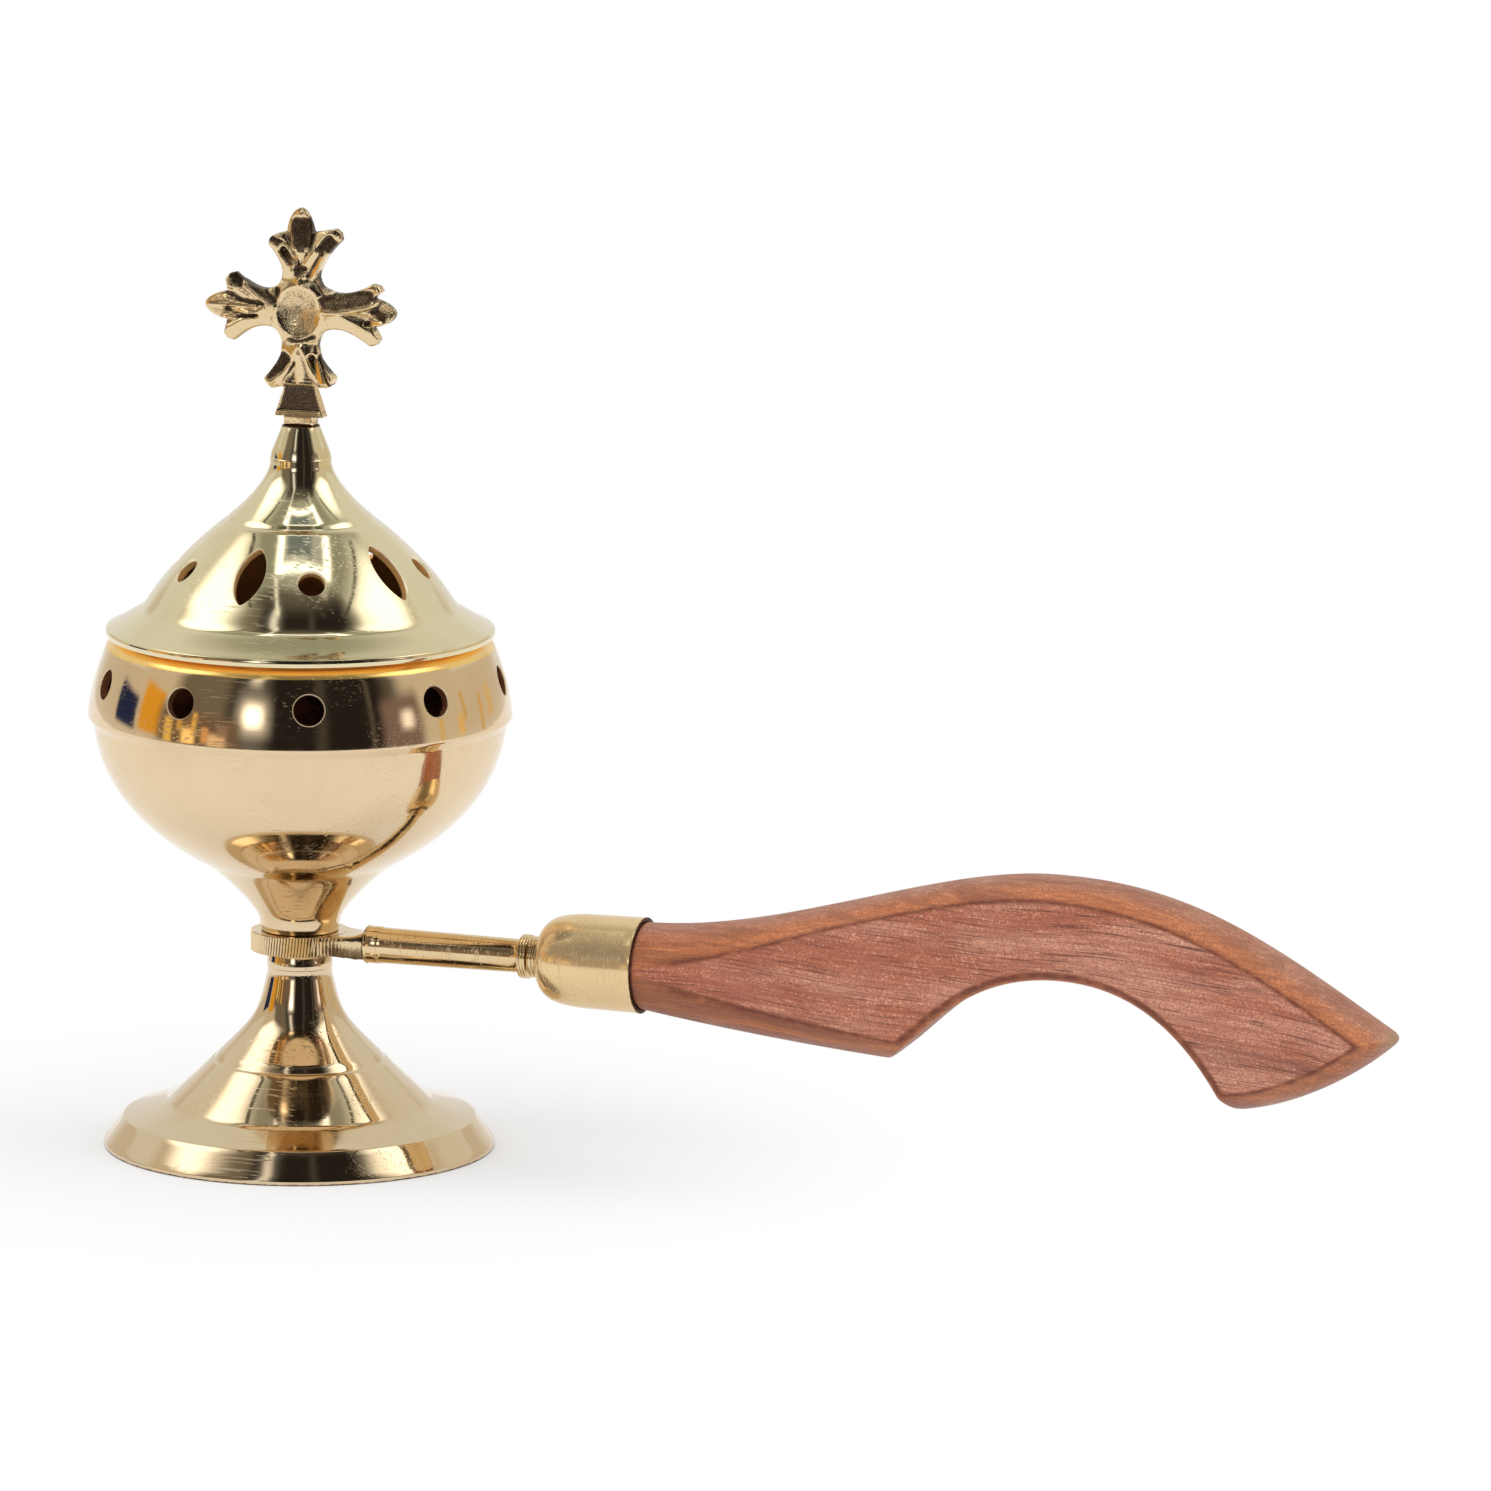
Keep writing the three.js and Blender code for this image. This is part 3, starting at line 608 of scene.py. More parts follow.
def new_material(name: str) -> tuple[bpy.types.Material, Sheet, bpy.types.Node]:
    """Starts a material with a Principled shader.

    Args:
        name: Name of the material.

    Returns:
        The material, its sheet and its shader.
    """
    material = bpy.data.materials.new(name)
    material.use_nodes = True
    sheet = Sheet(material.node_tree)
    shader = sheet.add("ShaderNodeBsdfPrincipled")
    sheet.add("ShaderNodeOutputMaterial", {0: shader.outputs[0]})
    return material, sheet, shader


def axis_vector(sheet: Sheet, layout: Layout, spindle: Spindle) -> Socket:
    """Object coordinates moved and turned so that a spindle lies on Z through the origin."""
    coordinates = sheet.add("ShaderNodeTexCoord").outputs["Object"]
    if spindle is Spindle.HANDLE:
        centred = sheet.shift(coordinates, place=(-mm(layout.vessel_x), 0, -mm(layout.handle_z)))
        return sheet.shift(centred, turn=(0, -90, 0))
    return sheet.shift(coordinates, place=(-mm(layout.vessel_x), 0, 0))


@dataclass(frozen=True)
class Coat:
    """A material while it is mixed.

    Attributes:
        sheet: The material's nodes.
        layout: Places of the spindles.
        effects: The shared shader groups.
    """

    sheet: Sheet
    layout: Layout
    effects: Effects

    def vector(self, spindle: Spindle) -> Socket:
        """Object coordinates moved and turned so that a spindle lies on Z through the origin."""
        return axis_vector(self.sheet, self.layout, spindle)

    def value(self, name: str) -> Socket:
        """A number that the mesh carries."""
        return self.sheet.add("ShaderNodeAttribute", attribute_name=name).outputs["Fac"]

    def cloud(self, vector: Socket, scale: float, low: float = 0.45, high: float = 0.65) -> Socket:
        """Share of a cloudy film."""
        inputs = {"Vector": vector, "Scale": scale, "Low": low, "High": high}
        return self.sheet.group(self.effects.cloud, inputs).outputs[0]

    def hairs(self, vector: Socket, fineness: float = 2200) -> Socket:
        """Share of hair scratches."""
        inputs = {"Vector": vector, "Fineness": fineness}
        return self.sheet.group(self.effects.scratches, inputs).outputs[0]

    def grime(self, vector: Socket, along: Socket, place: float, reach: float) -> Socket:
        """Share of dirt at a seam, whose place and reach along a coordinate are in metres."""
        inputs = {"Vector": vector, "Coordinate": along, "Place": place, "Reach": reach}
        return self.sheet.group(self.effects.seam, inputs).outputs[0]


@dataclass(frozen=True)
class Finish:
    """A finish that mixes its own material.

    Attributes:
        name: Name of the material.
    """

    name: str

    def make(self, layout: Layout, effects: Effects) -> bpy.types.Material:
        """Builds the material.

        Args:
            layout: Places of the spindles.
            effects: The shared shader groups.

        Returns:
            The new material.
        """
        material, sheet, shader = new_material(self.name)
        sheet.feed(shader, self.paint(Coat(sheet, layout, effects)))
        return material

    def paint(self, coat: Coat) -> dict[str, object]:
        """Values and sockets for the shader's inputs; each finish gives its own."""
        raise NotImplementedError


@dataclass(frozen=True)
class TurnedBrass(Finish):
    """Polished brass with turning marks, hair scratches, smudges and dirt in its seams.

    Attributes:
        spindle: Axis of the turning marks.
        colour: Reflection colour of the clean metal.
        tarnish: Colour of the thin brown film.
        roughness: Roughness of the cleanest places.
        lines: Fine turning lines per metre.
        depth: Depth of the marks, in millimetres.
        scratched: Amount of scratching, from 0 to 1.
        filmed: Amount of tarnish, from 0 to 1.
        seams: Place along the spindle and reach of each dirty seam, in millimetres.
        metallic: Share of the metal that is bare.
    """

    spindle: Spindle = Spindle.VESSEL
    colour: Triple = (0.79, 0.615, 0.395)
    tarnish: Triple = (0.66, 0.47, 0.26)
    roughness: float = 0.05
    lines: float = 4200
    depth: float = 0.004
    scratched: float = 0.5
    filmed: float = 0.3
    seams: tuple[Pair, ...] = ()
    metallic: float = 1.0

    def paint(self, coat: Coat) -> dict[str, object]:
        """Fine rings, crossing hair lines, cloudy film and brown seams."""
        sheet = coat.sheet
        vector = coat.vector(self.spindle)
        marks = sheet.group(coat.effects.turning, {"Vector": vector, "Lines": self.lines})
        hairs = coat.hairs(vector)
        film = coat.cloud(vector, 70, 0.4, 0.75)
        smudge = coat.cloud(vector, 160, 0.5, 0.8)
        filmed = sheet.math("MULTIPLY", film, self.filmed)
        colour = sheet.blend(filmed, (*self.colour, 1), (*self.tarnish, 1))
        along = sheet.add("ShaderNodeSeparateXYZ", {0: vector}).outputs[2]
        rough = sheet.math("MULTIPLY_ADD", smudge, 0.05, self.roughness)
        rough = sheet.math("MULTIPLY_ADD", marks.outputs["Streak"], 0.05, rough)
        rough = sheet.math("MULTIPLY_ADD", hairs, 0.5 * self.scratched, rough)
        for place, reach in self.seams:
            grime = coat.grime(vector, along, mm(place), mm(reach))
            colour = sheet.blend(grime, colour, (0.10, 0.05, 0.02, 1))
            rough = sheet.math("MULTIPLY_ADD", grime, 0.4, rough)
        relief = sheet.math("MULTIPLY_ADD", hairs, -0.8 * self.scratched, marks.outputs["Height"])
        return {
            "Base Color": colour,
            "Metallic": self.metallic,
            "Roughness": rough,
            "Normal": sheet.bump(relief, self.depth),
        }


def cut_edge(name: str, colour: Triple) -> TurnedBrass:
    """Finish of a broken edge: scratched, dull and half diffuse; a colour paler than the piece's
    brass also paints a highlight along the rim.
    """
    return TurnedBrass(
        name,
        colour=colour,
        tarnish=(0.7, 0.52, 0.28),
        roughness=0.38,
        depth=0.02,
        scratched=1.0,
        filmed=0.8,
        metallic=0.5,
    )


@dataclass(frozen=True)
class CastBrass(Finish):
    """Cast brass: grainy skin, dark in its hollows and rubbed bright on its ridges; on the cross
    the hollow value also carries painted shade and painted reflection.

    Attributes:
        colour: Reflection colour of the rubbed metal.
        shade: Colour of the dull skin.
        roughness: Roughness of the rubbed places.
        grain: Depth of the sand grain, in millimetres.
    """

    colour: Triple = (0.80, 0.62, 0.37)
    shade: Triple = (0.075, 0.052, 0.034)
    roughness: float = 0.16
    grain: float = 0.09

    def paint(self, coat: Coat) -> dict[str, object]:
        """Sand grain everywhere, deeper and darker where the mesh is hollow."""
        sheet = coat.sheet
        vector = coat.vector(Spindle.VESSEL)
        speckle = sheet.noise(vector, 2600, 3, 0.65)
        patches = coat.cloud(vector, 420, 0.42, 0.68)
        hairs = coat.hairs(vector, 3200)
        # The hollow value darkens the colour; on the cross it holds painted shade and painted
        # reflection besides dull skin.
        dull = sheet.math("MULTIPLY_ADD", patches, 0.16, coat.value("hollow"))
        ragged = sheet.math("MULTIPLY_ADD", sheet.math("SUBTRACT", speckle, 0.5), 1.1, dull)
        share = sheet.remap(ragged, 0.3, 0.9)
        skin = [channel * 2.6 for channel in self.shade]
        skin = sheet.blend(sheet.remap(speckle, 0.46, 0.66), (*self.shade, 1), (*skin, 1))
        colour = sheet.blend(share, (*self.colour, 1), skin)
        rough = sheet.math("MULTIPLY_ADD", share, 0.2, self.roughness)
        rough = sheet.math("MULTIPLY_ADD", hairs, 0.15, rough)
        lumps = sheet.noise(vector, 900, 2, 0.5)
        relief = sheet.math("MULTIPLY_ADD", speckle, 0.5, lumps)
        relief = sheet.math("MULTIPLY", relief, sheet.math("MULTIPLY_ADD", share, 0.75, 0.25))
        normal = sheet.bump(relief, self.grain)
        return {"Base Color": colour, "Metallic": 1.0, "Roughness": rough, "Normal": normal}


@dataclass(frozen=True)
class BurntBrass(Finish):
    """Brass browned by heat, with a film of soot.

    Attributes:
        colour: Reflection colour of the browned metal.
        soot: Colour of the sooty patches.
        low: Cloud value at which soot starts.
        roughness: Roughness of the browned metal.
        metallic: Share of the metal that is bare outside the soot.
    """

    colour: Triple = (0.42, 0.19, 0.06)
    soot: Triple = (0.035, 0.018, 0.012)
    low: float = 0.35
    roughness: float = 0.38
    metallic: float = 1.0

    def paint(self, coat: Coat) -> dict[str, object]:
        """Coarse rings under clouds of dull soot."""
        sheet = coat.sheet
        vector = coat.vector(Spindle.VESSEL)
        marks = sheet.group(coat.effects.turning, {"Vector": vector, "Lines": 1800.0})
        soot = coat.cloud(vector, 110, self.low, self.low + 0.25)
        colour = sheet.blend(soot, (*self.colour, 1), (*self.soot, 1))
        rough = sheet.math("MULTIPLY_ADD", soot, 0.4, self.roughness)
        metal = sheet.math("MULTIPLY_ADD", soot, -0.7 * self.metallic, self.metallic)
        normal = sheet.bump(marks.outputs["Height"], 0.02)
        return {"Base Color": colour, "Metallic": metal, "Roughness": rough, "Normal": normal}


@dataclass(frozen=True)
class PlatedSteel(Finish):
    """Zinc-plated steel of the hidden fasteners.

    Attributes:
        colour: Colour of the plating.
        roughness: Roughness of the plating.
    """

    colour: Triple = (0.62, 0.63, 0.65)
    roughness: float = 0.32

    def paint(self, coat: Coat) -> dict[str, object]:
        """A dulling film and a few scratches."""
        sheet = coat.sheet
        vector = coat.vector(Spindle.VESSEL)
        film = coat.cloud(vector, 240)
        hairs = coat.hairs(vector)
        colour = sheet.blend(film, (*self.colour, 1), (0.40, 0.38, 0.33, 1))
        rough = sheet.math("MULTIPLY_ADD", film, 0.2, self.roughness)
        normal = sheet.bump(hairs, 0.01, 0.6)
        return {"Base Color": colour, "Metallic": 1.0, "Roughness": rough, "Normal": normal}


@dataclass(frozen=True)
class GripWood(Finish):
    """Reddish hardwood: curving grain, open pores, sanding marks, orange rounds, dark creases.

    Attributes:
        light: Colour of the pinkish sheen.
        middle: Main colour.
        dark: Colour of the dark streaks.
        glow: Colour of the rounds beside the creases.
        outer: Colour of the rounds far from the creases.
        pore: Colour inside the pores.
        turn_x: Place along X from which the grain bends down, in metres.
        seam_x: Place along X where the grip meets the ferrule, in metres.
        roughness: Roughness of the oiled surface.
    """

    light: Triple = (0.64, 0.30, 0.20)
    middle: Triple = (0.47, 0.150, 0.078)
    dark: Triple = (0.21, 0.065, 0.045)
    glow: Triple = (0.54, 0.180, 0.058)
    outer: Triple = (0.42, 0.190, 0.110)
    pore: Triple = (0.085, 0.024, 0.018)
    turn_x: float = 0.10
    seam_x: float = -0.0215
    roughness: float = 0.42

    def grain(self, coat: Coat, coordinates: Socket) -> Socket:
        """Coordinates that follow the grain, which sways and bends down to the right."""
        sheet = coat.sheet
        split = sheet.add("ShaderNodeSeparateXYZ", {0: coordinates})
        past = sheet.math("MAXIMUM", sheet.math("SUBTRACT", split.outputs[0], self.turn_x), 0.0)
        fall = sheet.math("MULTIPLY", sheet.math("POWER", past, 2.0), 2.2)
        sway = sheet.math("SUBTRACT", sheet.noise(coordinates, 16, 1), 0.5)
        sway = sheet.math("MULTIPLY", sway, mm(7))
        rise = sheet.math("MULTIPLY_ADD", split.outputs[0], 0.06, sheet.math("ADD", fall, sway))
        up = sheet.math("ADD", split.outputs[2], rise)
        bent = sheet.add("ShaderNodeCombineXYZ", {0: split.outputs[0], 1: split.outputs[1], 2: up})
        return bent.outputs[0]

    def paint(self, coat: Coat) -> dict[str, object]:
        """Layers the streaks, fibres, pores, sanding marks, rounds and creases."""
        sheet = coat.sheet
        coordinates = sheet.add("ShaderNodeTexCoord").outputs["Object"]
        grain = self.grain(coat, coordinates)
        crown, crease, outer = (coat.value(name) for name in ("crown", "crease", "outer"))
        face = sheet.math("SUBTRACT", 1.0, crown)

        along = sheet.add("ShaderNodeSeparateXYZ", {0: coordinates}).outputs[0]
        streaks = sheet.noise(sheet.shift(grain, scale=(11, 70, 170)), 1, 3, 0.55, 0.5)
        sheen = sheet.noise(sheet.shift(grain, place=(5, 2, 1), scale=(30, 90, 110)), 1, 2)
        sheen = sheet.math("MULTIPLY_ADD", along, 1.5, sheen)
        fibres = sheet.noise(sheet.shift(grain, scale=(120, 1500, 2600)), 1, 3, 0.6)
        pebbles = sheet.noise(coordinates, 2300, 2, 0.6)

        sheen = sheet.remap(sheen, 0.46, 0.74, 0, 0.8)
        colour = sheet.blend(sheen, (*self.middle, 1), (*self.light, 1))
        outer = sheet.remap(outer, 0.15, 0.6)
        round_colour = sheet.blend(outer, (*self.glow, 1), (*self.outer, 1))
        colour = sheet.blend(sheet.math("MULTIPLY", crown, 0.85), colour, round_colour)
        colour = sheet.blend(sheet.remap(streaks, 0.50, 0.66, 0, 0.62), colour, (*self.dark, 1))
        colour = sheet.blend(sheet.remap(fibres, 0.36, 0.62, 0.42, 0), colour, (*self.dark, 1))
        colour = sheet.blend(sheet.remap(pebbles, 0.34, 0.54, 0.5, 0), colour, (*self.dark, 1))
        raised_fibres = sheet.remap(fibres, 0.46, 0.6)
        # Painted glints: light pinkish specks where the pebbles peak on raised fibres, stronger on
        # the flat faces than on the rounds.
        glint_flecks = sheet.math("MULTIPLY", sheet.remap(pebbles, 0.54, 0.68), raised_fibres)
        glint_flecks = sheet.math("MULTIPLY", glint_flecks, sheet.math("MULTIPLY_ADD", face, 0.3, 0.2))
        colour = sheet.blend(glint_flecks, colour, (0.84, 0.54, 0.41, 1))
        bands = sheet.noise(sheet.shift(grain, place=(1, 4, 2), scale=(24, 240, 620)), 1, 2)
        bands = sheet.math("MULTIPLY", crown, sheet.remap(bands, 0.46, 0.66, 0, 0.6))
        colour = sheet.blend(bands, colour, (0.26, 0.095, 0.045, 1))

        line = sheet.noise(sheet.shift(grain, scale=(75, 2300, 3000)), 1, 1)
        bare = sheet.noise(sheet.shift(grain, place=(3, 1, 2), scale=(50, 220, 220)), 1, 1)
        pores = sheet.math("MULTIPLY", sheet.remap(line, 0.58, 0.68), sheet.remap(bare, 0.36, 0.50))
        depth = sheet.remap(along, 0.0, 0.08, 0.28, 0.5)
        pores = sheet.math("MULTIPLY", pores, sheet.math("MULTIPLY_ADD", face, depth, 0.15))
        colour = sheet.blend(pores, colour, (*self.pore, 1))

        rubbed = sheet.shift(coordinates, turn=(0, -57, 0))
        rubbed = sheet.noise(sheet.shift(rubbed, scale=(260, 900, 2300)), 1, 1)
        where = sheet.remap(sheet.noise(coordinates, 55, 1), 0.42, 0.56)
        sanding = sheet.math("MULTIPLY", sheet.remap(rubbed, 0.60, 0.70), where)
        sanding = sheet.math("MULTIPLY", sanding, sheet.math("MULTIPLY", face, 0.25))
        colour = sheet.blend(sanding, colour, (0.72, 0.42, 0.30, 1))

        ragged = sheet.remap(sheet.noise(coordinates, 420, 2), 0.25, 0.6, 0.45, 1)
        ragged = sheet.math("MULTIPLY", crease, ragged)
        colour = sheet.blend(sheet.math("MULTIPLY", ragged, 0.85), colour, (0.12, 0.026, 0.016, 1))
        darkening = coat.grime(coordinates, along, self.seam_x, mm(0.6))
        colour = sheet.blend(sheet.math("MULTIPLY", darkening, 0.8), colour, (0.10, 0.030, 0.018, 1))
        worn = sheet.math("MULTIPLY", coat.value("worn"), 0.6)
        colour = sheet.blend(worn, colour, (0.36, 0.24, 0.14, 1))
        smudge = coat.cloud(coordinates, 90)
        rough = sheet.math("MULTIPLY_ADD", smudge, 0.12, self.roughness)
        rough = sheet.math("MULTIPLY_ADD", pores, 0.3, rough)
        relief = sheet.math("MULTIPLY_ADD", fibres, 0.5, sheet.math("MULTIPLY", pores, -1.2))
        relief = sheet.math("MULTIPLY_ADD", pebbles, 0.4, relief)
        relief = sheet.math("MULTIPLY_ADD", sanding, 0.5, relief)
        return {
            "Base Color": colour,
            "Roughness": rough,
            "Specular IOR Level": 0.35,
            "Normal": sheet.bump(relief, 0.09),
        }


# Pieces


@dataclass
class Piece:
    """What every sub-assembly needs to build and dress its pieces.

    Attributes:
        bench: The modelling bench.
        effects: The shared shader groups.
    """

    bench: Bench
    effects: Effects

    def mix(self, *finishes: Finish) -> list[bpy.types.Material]:
        """Makes the materials of several finishes."""
        return [finish.make(self.bench.layout, self.effects) for finish in finishes]

    def dress(self, obj: Thing, node: str, body: str, slot: str) -> Thing:
        """Binds a painted piece to the frame.

        Args:
            obj: The finished mesh, with its materials.
            node: CAD node that the piece stands for.
            body: Moving body that it rides on.
            slot: Material slot of the record; not used.

        Returns:
            The piece.
        """
        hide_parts(node)
        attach(obj, body)
        LOG.info("%s: %d faces", obj.name, len(obj.data.polygons))
        return obj


@dataclass
class Foot(Piece):
    """Hollow turned foot with its stud, washer and nut."""

    rim_radius: float = 41.4
    rim_height: float = 0.9
    rim_land: float = 3.0
    plate_edge: Pair = (37.3, 6.4)
    flare_base: Pair = (28.2, 9.2)
    groove: Pair = (18.2, 18.9)
    groove_depth: float = 0.4
    neck_radius: float = 6.85
    neck_start: float = 37.2
    height: float = 42.1
    wall: float = 2.4
    ceiling: float = 25.4
    bore: float = 3.1

    def profile(self) -> Profile:
        """Outline of the foot's section, from the bore round the underside to the neck."""
        groove_r, groove_z = self.groove
        lower = bend(self.flare_base, self.groove, 135, 133, 0.3, 0.3, 14)
        upper = bend(self.groove, (self.neck_radius, self.neck_start), 136, 104, 0.62, 0.44, 34)
        inside = [p for p in offset(lower + upper[1:], -self.wall) if p.y < self.ceiling - 0.6]
        ceiling_radius = radius_at(offset(upper, -self.wall), self.ceiling)
        rim = Vector((self.rim_radius, self.rim_height))
        return [
            Vector((self.bore, self.ceiling)),
            Vector((ceiling_radius - 0.8, self.ceiling)),
            *inside[::-2],
            Vector((self.plate_edge[0] - 1, self.plate_edge[1] - self.wall)),
            Vector((self.rim_radius - self.rim_land, 0)),
            Vector((self.rim_radius, 0)),
            *straight(rim, self.plate_edge, 5),
            *bend(self.plate_edge, self.flare_base, 166, 160, 0.3, 0.3, 8)[1:],
            *lower[1:-1],
            Vector((groove_r + 0.35, groove_z - 0.42)),
            Vector((groove_r - 0.1, groove_z - 0.3)),
            Vector((groove_r - self.groove_depth, groove_z)),
            *upper[1:],
            Vector((self.neck_radius - 0.05, 38.4)),
            Vector((self.neck_radius + 0.07, 38.55)),
            Vector((self.neck_radius + 0.07, 40.0)),
            Vector((self.neck_radius - 0.02, 40.2)),
            Vector((self.neck_radius - 0.23, self.height)),
            Vector((self.bore, self.height)),
            Vector((self.bore, self.ceiling)),
        ]

    def build(self) -> Thing:
        """Turns the foot and rounds its edges."""
        foot = self.bench.turn("turned_foot", self.profile(), Spindle.VESSEL, 224)
        self.bench.round_edges(foot, 0.22)
        self.bench.smooth(foot)
        # The seam at height 0 darkens the bottom of the rim, where the foot stands on the floor.
        brass = TurnedBrass(
            "foot_brass", colour=(0.74, 0.585, 0.39), roughness=0.045, seams=((42.1, 0.3), (0, 0.4))
        )
        dull = BurntBrass(
            "foot_inside", colour=(0.62, 0.44, 0.2), soot=(0.2, 0.13, 0.07), low=0.5, roughness=0.45
        )
        self.bench.fill_slots(foot, self.mix(brass, dull))
        axis = self.bench.layout.vessel
        self.bench.paint_faces(foot, 1, lambda at, normal: self.is_inside(at - axis, normal))
        return self.dress(foot, "foot", "stand", "turned_brass")

    def is_inside(self, at: Vector, normal: Vector) -> bool:
        """Whether a face belongs to the foot's hollow."""
        radial = normal.x * at.x + normal.y * at.y
        return at.z < mm(self.ceiling + 0.5) and (radial < 0 or normal.z < -0.9) and at.z > mm(0.3)

    def dress_fasteners(self) -> None:
        """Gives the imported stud, washer, nut and tang their plating."""
        steel = self.mix(PlatedSteel("zinc_plate"))
        for node in ("stem_stud", "foot_washer", "foot_nut", "grip_tang"):
            self.bench.fill_slots(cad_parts[node], steel)


@dataclass
class Piercing:
    """Cutters that leave a hole with a dark wall and a bright broken edge.

    Attributes:
        bench: The modelling bench.
        finishes: Materials of the outside, of the hole's wall and of its broken edge.
        edge: Width of the broken edge, in millimetres.
        sink: Depth at which the broken edge starts on the hole's wall.
        reach: How far the cutter goes each way.
    """

    bench: Bench
    finishes: Sequence[Coating]
    edge: float = 0.5
    sink: float = 0.55
    reach: float = 5.0

    def paint(self, cutter: Thing) -> Thing:
        """Gives a cutter the finishes that its faces leave on the piece."""
        self.bench.fill_slots(cutter, self.finishes)
        self.bench.paint_faces(cutter, 1, lambda at, normal: at.z < -mm(self.sink))
        self.bench.paint_faces(cutter, 2, lambda at, normal: normal.z < -0.1)
        return cutter

    def place(self, curve: Sequence[Vector], height: float, bearing: float) -> Matrix:
        """Where a cutter stands square to a turned wall.

        Args:
            curve: Outline of the wall.
            height: Height of the hole's centre, in millimetres.
            bearing: Bearing of the hole, in degrees.

        Returns:
            The cutter's place in the frame, in metres.
        """
        out = Matrix.Translation((mm(radius_at(curve, height)), 0, mm(height)))
        axis = Matrix.Translation(self.bench.layout.vessel)
        turn = Matrix.Rotation(math.radians(bearing), 4, "Z")
        return axis @ turn @ out @ Matrix.Rotation(lean_at(curve, height), 4, "Y")

    def drill(self, radius: float) -> Thing:
        """A round cutter at the origin that points up Z."""
        wide = radius + self.edge
        points = [(0, -self.reach), (radius, -self.reach), (radius, -self.sink)]
        points += [(wide, self.edge * 0.3), (wide + 0.2, 2.5), (0, 2.5)]
        return self.paint(self.bench.turn("drill", [Vector(p) for p in points], Spindle.BENCH, 48))

    def leaf(self, length: float, width: float) -> Thing:
        """A leaf-shaped cutter at the origin, its length along X."""
        steps = 20
        outline = []
        for i in range(2 * steps):
            angle = math.pi * i / steps
            across = math.copysign(abs(math.sin(angle)) ** 1.44, math.sin(angle)) * width / 2
            outline.append(Vector((mm(math.cos(angle) * length / 2), mm(across), mm(-self.reach))))
        leaf = self.bench.trace("leaf_cutter", outline)
        self.bench.edit(leaf)
        bpy.ops.mesh.edge_face_add()
        mouth = mm(self.sink + self.edge * 0.3)
        bpy.ops.mesh.extrude_region_move(
            TRANSFORM_OT_translate={"value": (0, 0, mm(self.reach - self.sink))}
        )
        bpy.ops.mesh.extrude_region_move(TRANSFORM_OT_translate={"value": (0, 0, mouth)})
        grow = (1 + 2 * self.edge / length, 1 + 2 * self.edge / width, 1)
        bpy.ops.transform.resize(value=grow, center_override=(0, 0, 0))
        bpy.ops.mesh.extrude_region_move(TRANSFORM_OT_translate={"value": (0, 0, mm(2.5))})
        bpy.ops.mesh.select_all(action="SELECT")
        bpy.ops.mesh.normals_make_consistent(inside=False)
        self.bench.clear()
        return self.paint(leaf)


